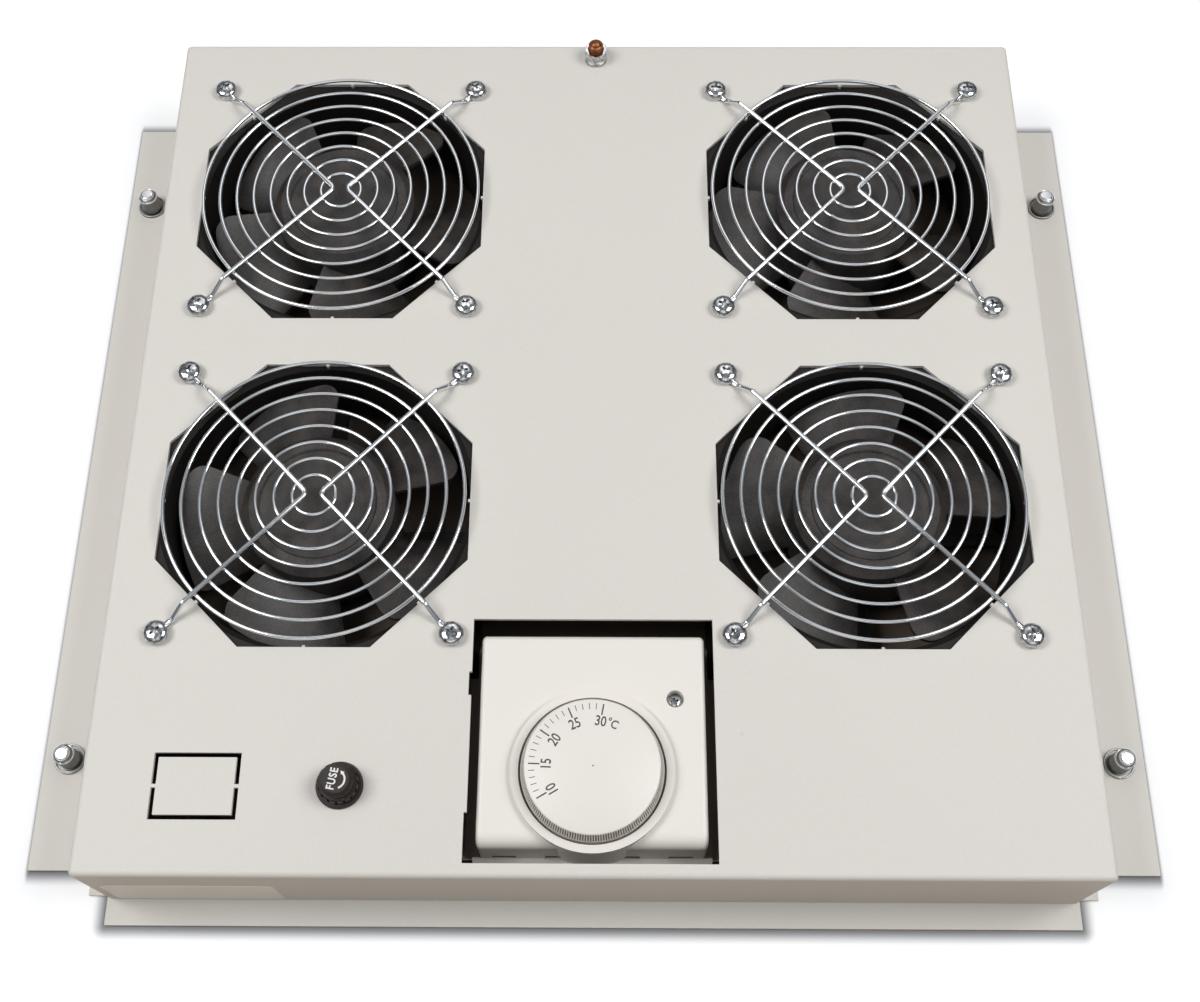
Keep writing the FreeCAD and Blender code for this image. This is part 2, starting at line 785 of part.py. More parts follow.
def fan_shaft(corner):
    """The steel shaft, from the bottom of the bearing tube into the hub's boss."""
    body = new_body("fan_shaft_" + corner)
    section = sketch_on(body, "shaft_bottom")
    circle(section, "0", "0", "shaft_radius")
    top = "(fan_depth - hub_below_mouth - hub_dish_depth - hub_wall)"
    pad(body, section, f"{top} - shaft_bottom")
    x, y = fan_spot(corner)
    place(body, x, y, FAN_BOTTOM)


def fan_motors():
    """Two bearings, a slotted stator and two terminals for each fan."""
    bearing = master("bearing_master")
    ring = sketch_on(bearing)
    circle(ring, "0", "0", "bearing_radius")
    circle(ring, "0", "0", "shaft_radius + shaft_fit")
    pad(bearing, ring, "bearing_height")
    base = size(FAN_BOTTOM)
    lower = base + size("motor_plate_height + bearing_inset")
    upper = base + size("motor_plate_height + bearing_tube_height - bearing_inset - bearing_height")
    group("fan_bearings", bearing, [(x, y, z) for x, y in fan_centres() for z in (lower, upper)])

    stator = master("stator_master")
    core = sketch_on(stator)
    circle(core, "0", "0", "stator_radius")
    circle(core, "0", "0", "bearing_tube_radius + press_gap")
    pad(stator, core, "stator_height")
    slot = sketch_on(stator, "stator_height")
    start, end = "stator_radius - stator_slot_depth", "stator_radius + cut_margin"
    rectangle(slot, start, "-stator_slot / 2", end, "stator_slot / 2")
    pattern(stator, cut(stator, slot, "stator_height"), STATOR_SLOTS)
    group("fan_stators", stator, [(x, y, base + size("stator_bottom")) for x, y in fan_centres()])

    tag = master("fan_terminal_master")
    blade_tag = sketch_on(tag)
    start = "(fan_waist_radius + press_gap)"
    rectangle(blade_tag, start, "-terminal_width / 2", f"{start} + terminal_length", "terminal_width / 2")
    pad(tag, blade_tag, "terminal_thickness")
    tag.Placement = FreeCAD.Placement(Vector(0, 0, 0), FreeCAD.Rotation(Vector(0, 0, 1), TERMINAL_ANGLE))
    doc.recompute()
    low = base + size("terminal_height")
    spots = [(x, y, z) for x, y in fan_centres() for z in (low, low + size("terminal_pitch"))]
    group("fan_terminals", tag, spots)


# Finger guards and their fasteners


def rounded_path(points, radius):
    """Straight runs through the points, joined by tangent arcs of one radius."""
    edges = []
    start = points[0]
    for before, corner, after in zip(points, points[1:], points[2:]):
        arriving = (corner - before).normalize()
        leaving = (after - corner).normalize()
        half_turn = arriving.getAngle(leaving) / 2
        back = radius * math.tan(half_turn)
        inwards = (leaving - arriving).normalize()
        middle = corner + inwards * (radius / math.cos(half_turn) - radius)
        first, last = corner - arriving * back, corner + leaving * back
        edges += [Part.LineSegment(start, first).toShape(), Part.Arc(first, middle, last).toShape()]
        start = last
    edges.append(Part.LineSegment(start, points[-1]).toShape())
    return Part.Wire(edges)


def wire_section(spot, along):
    """An octagon inside the spoke wire's round section, square to the wire."""
    across = along.cross(Vector(0, 0, 1)).normalize()
    upwards = across.cross(along).normalize()
    radius = size("spoke_radius")
    points = []
    for number in range(WIRE_SIDES):
        turn_angle = math.tau * (number + 0.5) / WIRE_SIDES
        points.append(spot + across * radius * math.cos(turn_angle) + upwards * radius * math.sin(turn_angle))
    return Part.makePolygon(points + points[:1])


def spoke():
    """One V-shaped spoke wire with an eyelet at each end, for the guard's right half."""
    hole = size("fan_hole_pitch / 2")
    thin, low = size("eyelet_thickness"), size("spoke_radius")
    high = size("ring_height + ring_wire / 2 + spoke_radius - weld_depth")
    apex, eye = Vector(size("spoke_apex"), 0, high), Vector(hole, hole, high)
    outwards = (eye - apex).normalize()
    reach = apex.distanceToPoint(eye)
    parts = []
    arm = []
    for back, height in (("spoke_end", low), ("spoke_drop_end", low), ("spoke_drop_start", high)):
        spot = apex + outwards * (reach - size(back))
        arm.append(Vector(spot.x, spot.y, height))
    mirrored = [Vector(spot.x, -spot.y, spot.z) for spot in reversed(arm)]
    path = rounded_path(arm + [apex] + mirrored, size("spoke_bend"))
    parts.append(path.makePipeShell([wire_section(arm[0], arm[1] - arm[0])], True, False))
    for side in (-1, 1):
        centre = Vector(hole, side * hole, 0)
        towards = Vector(-outwards.x, -side * outwards.y, 0)
        disc = Part.makeCylinder(size("eyelet_radius"), thin, centre)
        neck = Part.makeBox(size("eyelet_neck"), 2 * low, thin, Vector(0, -low, 0))
        neck.rotate(Vector(0, 0, 0), Vector(0, 0, 1), math.degrees(math.atan2(towards.y, towards.x)))
        neck.translate(centre)
        bore = Part.makeCylinder(size("fan_hole_radius"), thin, centre)
        parts.append(disc.fuse(neck).cut(bore))
    return parts[0].fuse(parts[1:])


def guard_shape():
    """Eight concentric rings under two spoke wires, welded where they cross."""
    inner, outer = size("ring_inner_radius"), size("ring_outer_radius")
    wire, level = size("ring_wire / 2"), size("ring_height")
    right = spoke()
    left = right.mirror(Vector(0, 0, 0), Vector(1, 0, 0))
    rings = []
    for number in range(RING_COUNT):
        radius = inner + (outer - inner) * number / (RING_COUNT - 1)
        corners = [(radius - wire, level - wire), (radius + wire, level - wire)]
        corners += [(radius + wire, level + wire), (radius - wire, level + wire)]
        rings.append(turned(corners))
    return right.fuse([left] + rings)


def finger_guards():
    guard = doc.addObject("Part::Feature", "guard_master")
    guard.Shape = guard_shape()
    group("finger_guards", guard, [(x, y, size("tray_height")) for x, y in fan_centres()])


def guard_fasteners():
    """Pan-head screws through eyelet, panel and fan flange, with a nut under the flange."""
    screw = master("screw_master")
    seat = "eyelet_thickness"
    profile = [("0", f"{seat} - screw_length"), ("screw_radius - press_gap", f"{seat} - screw_length")]
    profile += [("screw_radius - press_gap", seat), ("screw_head_radius", seat)]
    profile += [("screw_head_radius", f"{seat} + screw_head_edge")]
    profile += [("screw_head_radius - screw_head_bevel", f"{seat} + screw_head_edge + screw_head_bevel")]
    profile += [("screw_head_crown", f"{seat} + screw_head_height"), ("0", f"{seat} + screw_head_height")]
    turn(screw, profile)
    group("guard_screws", screw, screw_places(size("tray_height")))
    nut = master("nut_master")
    flats = sketch_on(nut)
    polygon(flats, "0", "0", "nut_flats", 6)
    circle(flats, "0", "0", "screw_radius")
    pad(nut, flats, "nut_height")
    group("guard_nuts", nut, screw_places(size("tray_height - sheet - fan_flange - nut_height")))


# Thermostat


def thermostat_cradle():
    """A U-shaped bracket: two feet under the panel, two walls and the floor that the base sits on."""
    body = new_body("thermostat_cradle")
    floor = f"({STAT_BASE_TOP} - stat_base_height - sheet)"
    inner = "cradle_inner_width / 2"
    outer = "(cradle_inner_width / 2 + sheet)"
    foot = "(cradle_inner_width / 2 + sheet + cradle_foot)"
    half = [(inner, f"{floor} + sheet"), (inner, PANEL_UNDER), (foot, PANEL_UNDER)]
    half += [(foot, f"{PANEL_UNDER} - sheet"), (outer, f"{PANEL_UNDER} - sheet"), (outer, floor)]
    profile = sketch_on(body, "0", "XZ_Plane")
    outline(profile, half + [(f"-{x}", z) for x, z in reversed(half)])
    pad(body, profile, "cradle_depth")
    back = "(stat_centre_y - stat_base_depth / 2 + cradle_front_gap + cradle_depth)"
    holes = sketch_on(body, f"{floor} + sheet")
    for side in (-1, 1):
        spot = f"stat_centre_y + base_screw_y - {back}"
        circle(holes, f"{side} * base_screw_x", spot, "cover_screw_radius + press_gap")
    cut(body, holes, "sheet")
    place(body, "0", back, "0")


def thermostat_base():
    """The base plate with the pillar for the cover screw and two holes for its own screws."""
    body = new_body("thermostat_base")
    plate = sketch_on(body)
    centred_rectangle(plate, "stat_base_width", "stat_base_depth")
    pad(body, plate, "stat_base_height")
    dress(body, "Fillet", is_upright, "stat_cover_corner")
    pillar = sketch_on(body)
    circle(pillar, "cover_screw_x", "cover_screw_y", "pillar_radius")
    well = "(stat_base_height + stat_cover_height - cover_screw_well_depth - stat_cover_wall)"
    pad(body, pillar, f"{well} - works_gap")
    holes = sketch_on(body, well)
    circle(holes, "cover_screw_x", "cover_screw_y", "cover_screw_radius + press_gap")
    cut(body, holes, f"{well} - stat_base_height / 2")
    screws = sketch_on(body, "stat_base_height")
    for side in (-1, 1):
        circle(screws, f"{side} * base_screw_x", "base_screw_y", "cover_screw_radius + press_gap")
    cut(body, screws, "stat_base_height")
    place(body, "0", "stat_centre_y", f"{STAT_BASE_TOP} - stat_base_height")


def thermostat_cover():
    """A shell with a rolled front edge, a drum round the dial, vents and a well for its screw."""
    body = new_body("thermostat_cover")
    block = sketch_on(body)
    centred_rectangle(block, "stat_cover_width", "stat_cover_depth")
    pad(body, block, "stat_cover_height")
    top, back, side = size("stat_cover_height"), size("stat_cover_depth / 2"), size("stat_cover_width / 2")
    dress(body, "Fillet", lambda edge: lies_at(edge, top) and edge.BoundBox.YMax < TOUCH - back, "stat_front_round")
    dress(body, "Fillet", lambda edge: lies_at(edge, top) and edge.BoundBox.YMin > back - TOUCH, "stat_back_round")
    dress(body, "Fillet", lambda edge: edge.BoundBox.ZMax > TOUCH and lies_on_side(edge, side), "stat_side_round")
    drum = sketch_on(body)
    circle(drum, "0", "dial_from_centre", "dial_ring_radius")
    pad(body, drum, "stat_cover_height + dial_ring_height")
    hollow = sketch_on(body)
    walls = "2 * stat_cover_wall"
    centred_rectangle(hollow, f"(stat_cover_width - {walls})", f"(stat_cover_depth - {walls})")
    cut(body, hollow, "stat_cover_height - stat_cover_wall", upwards=True)
    cup = sketch_on(body)
    circle(cup, "0", "dial_from_centre", "dial_ring_radius - stat_cover_wall")
    cut(body, cup, "stat_cover_height - stat_cover_wall", upwards=True)
    seat = sketch_on(body, "stat_cover_height + dial_ring_height")
    circle(seat, "0", "dial_from_centre", "dial_radius + running_gap")
    cut(body, seat, "dial_ring_height")
    tube = sketch_on(body, "stat_cover_height - cover_screw_well_depth - stat_cover_wall")
    circle(tube, "cover_screw_x", "cover_screw_y", "cover_screw_well + stat_cover_wall / 2")
    pad(body, tube, "cover_screw_well_depth + stat_cover_wall / 2")
    well = sketch_on(body, "stat_cover_height")
    circle(well, "cover_screw_x", "cover_screw_y", "cover_screw_well")
    cut(body, well, "cover_screw_well_depth")
    holes = sketch_on(body, "stat_cover_height")
    circle(holes, "cover_screw_x", "cover_screw_y", "cover_screw_radius + hole_gap")
    circle(holes, "0", "dial_from_centre", "spindle_radius + running_gap")
    cut(body, holes, "stat_cover_height / 2")
    cut_vents(body)
    place(body, "0", "stat_centre_y", STAT_BASE_TOP)


def cut_vents(body):
    """Four slots along the bottom edge of the front wall."""
    sketch = sketch_on(body)
    near = "(-stat_cover_depth / 2)"
    for side in (-1, 1):
        for start, end in (("vent_inner_start", "vent_inner_end"), ("vent_outer_start", "vent_outer_end")):
            left, right = f"{side} * {start}", f"{side} * {end}"
            rectangle(sketch, left, f"{near} - cut_margin", right, f"{near} + stat_cover_wall + cut_margin")
    cut(body, sketch, "vent_height", upwards=True)


def thermostat_dial():
    """The turning dial: a shallow cone standing in its ring, with a socket for the spindle."""
    body = new_body("thermostat_dial")
    socket, top = "spindle_radius + press_gap", "(dial_ring_height + dial_height)"
    profile = [(socket, "works_gap"), ("dial_radius", "works_gap"), ("dial_radius", "dial_ring_height")]
    profile += [("dial_top_radius", f"{top} - dial_edge"), ("dial_top_radius - dial_edge", top), ("0", top)]
    profile += [("0", f"{top} - stat_cover_wall"), (socket, f"{top} - stat_cover_wall")]
    turn(body, profile)
    y = "stat_centre_y + dial_from_centre"
    place(body, "0", y, STAT_FACE)
    spindle = new_body("thermostat_spindle")
    section = sketch_on(spindle)
    circle(section, "0", "0", "spindle_radius")
    length = "stat_cover_height - spindle_bottom + dial_ring_height + dial_height - stat_cover_wall"
    pad(spindle, section, length)
    place(spindle, "0", y, f"{STAT_BASE_TOP} + spindle_bottom")


def thermostat_fasteners():
    """The cover screw in its well, and the two screws that hold the base to the cradle."""
    screw = new_body("thermostat_cover_screw")
    top = "cover_screw_head_height"
    profile = [("0", "-cover_screw_length"), ("cover_screw_radius", "-cover_screw_length")]
    profile += [("cover_screw_radius", "0"), ("cover_screw_head", "0")]
    profile += [("cover_screw_head", f"{top} - cover_screw_head_edge")]
    profile += [("cover_screw_head - cover_screw_head_edge", top), ("0", top)]
    turn(screw, profile)
    seat = f"{STAT_FACE} - cover_screw_well_depth"
    place(screw, "cover_screw_x", "stat_centre_y + cover_screw_y", seat)
    fixing = master("base_screw_master")
    profile = [("0", "-base_screw_length"), ("cover_screw_radius", "-base_screw_length")]
    profile += [("cover_screw_radius", "0"), ("base_screw_head", "0")]
    profile += [("base_screw_head", "base_screw_head_height / 2")]
    profile += [("base_screw_head / 2", "base_screw_head_height"), ("0", "base_screw_head_height")]
    turn(fixing, profile)
    x, y = size("base_screw_x"), size("stat_centre_y + base_screw_y")
    group("thermostat_base_screws", fixing, [(-x, y, size(STAT_BASE_TOP)), (x, y, size(STAT_BASE_TOP))])


def box_node(label, width, depth, height, x, y, z):
    """A plain block, centred on X and Y."""
    node = doc.addObject("Part::Box", label)
    bind(node, "Length", width)
    bind(node, "Width", depth)
    bind(node, "Height", height)
    place(node, f"{x} - ({width}) / 2", f"{y} - ({depth}) / 2", z)
    nodes.append(node)
    return node


def thermostat_works():
    """What the cover hides: terminal block, its screws, the snap switch and the bimetal that works it."""
    block = new_body("thermostat_terminal_block")
    outline_sketch = sketch_on(block)
    centred_rectangle(outline_sketch, "block_width", "block_depth")
    pad(block, outline_sketch, "block_height")
    wells = sketch_on(block, "block_height")
    for step in (-1, 0, 1):
        circle(wells, f"{step} * block_screw_pitch", "0", "block_screw_radius + hole_gap")
    cut(block, wells, "block_height / 2")
    place(block, "0", "stat_centre_y + block_y", STAT_BASE_TOP)
    screw = master("block_screw_master")
    section = sketch_on(screw)
    circle(section, "0", "0", "block_screw_radius")
    pad(screw, section, "block_height / 2 - block_screw_sink")
    y, z = size("stat_centre_y + block_y"), size(f"{STAT_BASE_TOP} + block_height / 2")
    pitch = size("block_screw_pitch")
    group("thermostat_terminal_screws", screw, [(step * pitch, y, z) for step in (-1, 0, 1)])
    middle = "stat_centre_y + dial_from_centre"
    sides = ("switch_depth", "switch_width", "switch_height")
    box_node("thermostat_switch", *sides, "switch_x", middle, STAT_BASE_TOP)
    strip = new_body("thermostat_bimetal")
    profile = sketch_on(strip, "0", "XZ_Plane")
    rise = "(spindle_bottom - running_gap)"
    thick = "bimetal_thickness"
    corners = [("0", "0"), ("bimetal_foot", "0"), ("bimetal_foot", thick), (thick, thick)]
    corners += [(thick, f"{rise} - {thick}"), ("bimetal_length", f"{rise} - {thick}")]
    corners += [("bimetal_length", rise), ("0", rise)]
    outline(profile, corners)
    pad(strip, profile, "bimetal_width")
    place(strip, "bimetal_x", f"{middle} + bimetal_width / 2", STAT_BASE_TOP)


# Fuse holder


def fuse_holder():
    """Barrel with its bezel, the nut under the panel and two solder tags."""
    body = new_body("fuse_holder_body")
    floor, bottom = "(barrel_floor - sheet - barrel_length)", "(0 - sheet - barrel_length)"
    profile = [("0", bottom), ("barrel_radius", bottom), ("barrel_radius", "0"), ("bezel_radius", "0")]
    profile += [("bezel_radius", "bezel_height / 2"), ("bezel_radius - bezel_bevel", "bezel_height")]
    profile += [("barrel_bore", "bezel_height"), ("barrel_bore", floor), ("0", floor)]
    turn(body, profile)
    place(body, "fuse_x", "fuse_y", "tray_height")
    nut = new_body("fuse_holder_nut")
    flats = sketch_on(nut)
    polygon(flats, "0", "0", "holder_nut_flats", 6)
    circle(flats, "0", "0", "barrel_radius + press_gap")
    pad(nut, flats, "holder_nut_height")
    place(nut, "fuse_x", "fuse_y", f"{PANEL_UNDER} - holder_nut_height")
    x, y, z = size("fuse_x"), size("fuse_y"), size(f"{PANEL_UNDER} - barrel_length")
    wide, thin, long = size("tag_width"), size("tag_thickness"), size("tag_length")
    end_tag = Part.makeBox(wide, thin, long, Vector(x - wide / 2, y - thin / 2, z - long))
    side_start = Vector(x + size("barrel_radius + press_gap"), y - wide / 2, z + size("barrel_length / 2"))
    side_tag = Part.makeBox(long, wide, thin, side_start)
    tags = doc.addObject("Part::Feature", "fuse_terminals")
    tags.Shape = Part.makeCompound([end_tag, side_tag])
    nodes.append(tags)


def fuse_cap():
    """The stepped, ribbed cap with the sleeve that grips the fuse."""
    body = new_body("fuse_cap")
    low = "bezel_height + works_gap"
    top, step = f"({low} + cap_height)", f"({low} + cap_lower_height)"
    sleeve = "(0 - cap_sleeve_length)"
    profile = [("cap_sleeve_bore", sleeve), ("cap_sleeve_radius", sleeve), ("cap_sleeve_radius", low)]
    profile += [("cap_radius", low), ("cap_radius", f"{step} - cap_step_bevel")]
    profile += [("cap_radius - cap_step_bevel", step), ("cap_upper_radius", step)]
    profile += [("cap_upper_radius", f"{top} - cap_top_bevel"), ("cap_top_radius", top)]
    profile += [("0", top), ("0", "0"), ("cap_sleeve_bore", "0")]
    turn(body, profile)
    rib = sketch_on(body, step)
    start, end = "cap_radius - cap_rib_depth", "cap_radius + cut_margin"
    rectangle(rib, start, "-cap_rib_gap / 2", end, "cap_rib_gap / 2")
    pattern(body, cut(body, rib, "cap_lower_height - cap_step_bevel"), int(size("cap_rib_count")))
    place(body, "fuse_x", "fuse_y", "tray_height")


def fuse_link():
    """The cartridge fuse: a glass tube between two metal end caps."""
    glass = new_body("fuse_glass")
    tube = sketch_on(glass)
    circle(tube, "0", "0", "fuse_glass_radius")
    inset = "(fuse_end_wall + press_gap)"
    pad(glass, tube, f"fuse_length - 2 * {inset}")
    top = "(tray_height - works_gap)"
    place(glass, "fuse_x", "fuse_y", f"{top} - fuse_length + {inset}")
    cap = master("fuse_end_master")
    bore = "fuse_glass_radius + press_gap"
    profile = [("0", "0"), ("fuse_radius", "0"), ("fuse_radius", "fuse_end_length")]
    profile += [(bore, "fuse_end_length"), (bore, "fuse_end_wall"), ("0", "fuse_end_wall")]
    turn(cap, profile)
    lower = cap.Shape.copy()
    upper = lower.mirror(Vector(0, 0, 0), Vector(0, 0, 1))
    x, y, head = size("fuse_x"), size("fuse_y"), size(top)
    lower.translate(Vector(x, y, head - size("fuse_length")))
    upper.translate(Vector(x, y, head))
    ends = doc.addObject("Part::Feature", "fuse_end_caps")
    ends.Shape = Part.makeCompound([lower, upper])
    nodes.append(ends)


def check_document():
    """Stop on any failed object or any sub-part without a sound shape."""
    doc.recompute()
    for item in doc.Objects:
        if "Invalid" in item.State or "Error" in item.State:
            raise RuntimeError(f"{item.Name} is in state {item.State}")
    for node in nodes:
        if node.Shape.isNull() or not node.Shape.isValid() or not node.Shape.Solids:
            raise RuntimeError(f"{node.Label} has no sound shape")


def export_parts():
    os.makedirs("parts", exist_ok=True)
    for node in nodes:
        node.Shape.exportStep(f"parts/{node.Label}.step")


def build():
    fill_sheet()
    tray_panel()
    flange_studs()
    earth_point()
    impeller = impeller_shape()
    for corner in FAN_CORNERS:
        fan_frame(corner)
        fan_impeller(corner, impeller)
        fan_shaft(corner)
    fan_motors()
    finger_guards()
    guard_fasteners()
    thermostat_cradle()
    thermostat_base()
    thermostat_cover()
    thermostat_dial()
    thermostat_fasteners()
    thermostat_works()
    fuse_holder()
    fuse_cap()
    fuse_link()
    check_document()
    export_parts()


build()
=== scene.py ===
import json
import math
import random

import bpy
from bpy.props import FloatProperty, FloatVectorProperty, IntProperty, PointerProperty
from mathutils import Matrix, Vector


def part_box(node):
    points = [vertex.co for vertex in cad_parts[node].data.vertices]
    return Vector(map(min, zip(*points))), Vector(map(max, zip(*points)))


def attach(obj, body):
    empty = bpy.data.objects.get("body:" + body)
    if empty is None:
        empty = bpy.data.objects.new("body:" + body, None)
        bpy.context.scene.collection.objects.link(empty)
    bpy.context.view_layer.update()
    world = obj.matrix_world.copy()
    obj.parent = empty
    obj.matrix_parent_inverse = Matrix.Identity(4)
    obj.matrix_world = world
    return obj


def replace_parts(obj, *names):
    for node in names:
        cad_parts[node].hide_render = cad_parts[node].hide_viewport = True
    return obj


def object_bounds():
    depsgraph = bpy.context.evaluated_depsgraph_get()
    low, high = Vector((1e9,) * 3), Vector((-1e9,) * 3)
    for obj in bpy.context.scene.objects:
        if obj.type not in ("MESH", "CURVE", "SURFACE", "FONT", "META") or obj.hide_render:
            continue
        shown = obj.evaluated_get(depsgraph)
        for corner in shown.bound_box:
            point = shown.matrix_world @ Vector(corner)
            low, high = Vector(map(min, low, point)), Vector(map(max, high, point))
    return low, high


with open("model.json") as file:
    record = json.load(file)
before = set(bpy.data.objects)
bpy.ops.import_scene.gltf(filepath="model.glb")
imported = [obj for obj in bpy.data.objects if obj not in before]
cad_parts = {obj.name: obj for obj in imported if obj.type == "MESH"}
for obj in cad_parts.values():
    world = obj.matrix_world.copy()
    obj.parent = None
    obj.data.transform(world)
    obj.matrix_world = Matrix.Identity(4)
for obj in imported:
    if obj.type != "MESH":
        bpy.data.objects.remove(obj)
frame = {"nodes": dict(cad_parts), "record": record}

bl_info = {
    "name": "Rack fan tray",
    "version": (1, 0, 0),
    "blender": (4, 5, 0),
    "location": "3D View > Sidebar > Fan Tray",
    "description": "Dresses the fan tray: wire guards, screws, studs, dial, marks, coats and a pale stage",
    "category": "Object",
}

# Metres. X to the right, Y to the back, Z up; the origin is under the middle of the flanges.

CAD_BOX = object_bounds()
MM = 0.001
CORNERS = ("front_left", "front_right", "back_left", "back_right")
PANEL_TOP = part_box("tray_panel")[1].z
CAP_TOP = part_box("fuse_cap")[1].z
PANEL_HALF = 175 * MM
SHEET = 1.5 * MM
INK = 0.04 * MM

# The radius, in millimetres, at which a turned outline closes on its axis.
CORE = 0.02


def middle(node):
    """The middle of a modelled part's box."""
    low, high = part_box(node)
    return (low + high) / 2


def upright(spot, level, turn=0.0):
    """The placement over a spot, at a level and turned about Z."""
    return Matrix.Translation((spot.x, spot.y, level)) @ Matrix.Rotation(turn, 4, "Z")


# Settings that a user would change


def length(name, description, default):
    return FloatProperty(name=name, description=description, default=default, unit="LENGTH", precision=5)


def turning(name, description, degrees):
    angle = math.radians(degrees)
    return FloatProperty(name=name, description=description, default=angle, subtype="ANGLE")


def colour(name, description, default):
    return FloatVectorProperty(
        name=name, description=description, default=default, size=4, subtype="COLOR", min=0, max=1)


class FinishSettings(bpy.types.PropertyGroup):
    coat: colour("Powder coat", "Light grey of the folded panel", (0.70, 0.675, 0.634, 1))
    cover: colour("Thermostat plastic", "Warm white of the cover and the dial", (0.815, 0.785, 0.735, 1))
    moulding: colour("Fan plastic", "Black of the housings and impellers", (0.023, 0.020, 0.018, 1))
    chrome: colour("Bright plate", "Guards and their screws", (0.82, 0.83, 0.84, 1))
    zinc: colour("Zinc plate", "Studs, nuts and brackets", (0.50, 0.50, 0.48, 1))
    copper: colour("Copper flash", "The earth stud", (0.36, 0.12, 0.05, 1))
    brass: colour("Contact brass", "Terminals and tags", (0.66, 0.50, 0.22, 1))
    ink: colour("Dial ink", "Numbers and ticks on the dial", (0.050, 0.042, 0.035, 1))
    coat_grain: length("Coat grain", "Size of the powder coat's grain", 0.45 * MM)


class GuardSettings(bpy.types.PropertyGroup):
    ring_wire: length("Ring wire", "Radius of the ring wire", 0.72 * MM)
    spoke_wire: length("Spoke wire", "Radius of the spoke wire", 0.98 * MM)
    inner: length("Inner ring", "Radius of the smallest ring", 8 * MM)
    outer: length("Outer ring", "Radius of the largest ring", 55.3 * MM)
    rings: IntProperty(name="Rings", description="Rings in each guard", default=8, min=2)
    level: length("Ring level", "Height of the rings above the panel", 4.7 * MM)
    pitch: length("Screw pitch", "Side of the square of screws", 104.8 * MM)
    apex: length("Apex", "From the fan's axis to the corner that a spoke wire rounds", 2.3 * MM)
    eye: length("Eyelet", "Radius of the middle of the eyelet wire", 3.4 * MM)


class ScrewSettings(bpy.types.PropertyGroup):
    head: length("Head", "Radius of a guard screw's head", 4.5 * MM)
    dome: length("Dome", "Height of a guard screw's head", 2.75 * MM)
    recess: length("Recess", "Reach of the cross recess from the middle", 2.5 * MM)
    recess_depth: length("Recess depth", "Depth of the cross recess", 1.6 * MM)
    nut: length("Nut", "Guard nut across its flats", 7 * MM)


class StudSettings(bpy.types.PropertyGroup):
    pitch: length("Thread pitch", "Pitch of the flange studs' thread", 1.25 * MM)
    depth: length("Thread depth", "Depth of the flange studs' thread", 0.5 * MM)
    earth_pitch: length("Earth pitch", "Pitch of the earth stud's thread", 1 * MM)
    earth_nut: length("Earth nut", "Earth nut across its flats", 8.5 * MM)


class DialSettings(bpy.types.PropertyGroup):
    teeth: IntProperty(name="Knurls", description="Fine ribs round the dial", default=172, min=12)
    tooth: length("Knurl depth", "Depth of the ribs", 0.6 * MM)
    first: turning("First mark", "Where 10 stands, counter-clockwise from the right", 211)
    step: turning("Step", "Angle between two numbers", 32.8)
    figure: length("Figure height", "Height of the numbers", 3.5 * MM)


class StageSettings(bpy.types.PropertyGroup):
    floor: colour("Floor", "Paper of the floor as it is looked at", (0.76, 0.77, 0.79, 1))
    bounce: colour("Floor bounce", "Paper of the floor as it lights the tray", (0.46, 0.36, 0.25, 1))
    # The next two colours are painted shade under the tray and a painted shadow along the flanges.
    under: colour("Under the tray", "Floor in the shade of the tray", (0.16, 0.13, 0.105, 1))
    shadow: colour("Shadow", "Floor where it meets the flanges", (0.25, 0.262, 0.28, 1))
    glow: colour("Floor glow", "What the camera sees besides the lit paper", (0.36, 0.36, 0.36, 1))
    edge: length("Shadow edge", "Distance over which the glow begins beside the tray", 6 * MM)
    lamp: FloatProperty(name="Lamps", description="Strength of all lamps together", default=1.0, min=0)


SETTINGS = {
    "tray_finish": FinishSettings,
    "tray_guard": GuardSettings,
    "tray_screw": ScrewSettings,
    "tray_stud": StudSettings,
    "tray_dial": DialSettings,
    "tray_stage": StageSettings,
}


# Shader maths


class Value:
    """A shader socket with arithmetic: an expression on values adds its nodes."""

    def __init__(self, paint, socket):
        self.paint = paint
        self.socket = socket

    def combine(self, operation, first, second):
        if self.socket.type == "VALUE":
            return self.paint.add("ShaderNodeMath", {"operation": operation}, {0: first, 1: second})
        return self.paint.add("ShaderNodeVectorMath", {"operation": operation}, {0: first, 1: second})

    def __add__(self, other):
        return self.combine("ADD", self, other)

    def __sub__(self, other):
        return self.combine("SUBTRACT", self, other)

    def __mul__(self, other):
        return self.combine("MULTIPLY", self, other)

    def __abs__(self):
        return self.paint.add("ShaderNodeMath", {"operation": "ABSOLUTE"}, {0: self})

    def larger(self, other):
        return self.combine("MAXIMUM", self, other)

    def smaller(self, other):
        return self.combine("MINIMUM", self, other)

    def from_0_to_1(self):
        return self.larger(0.0).smaller(1.0)


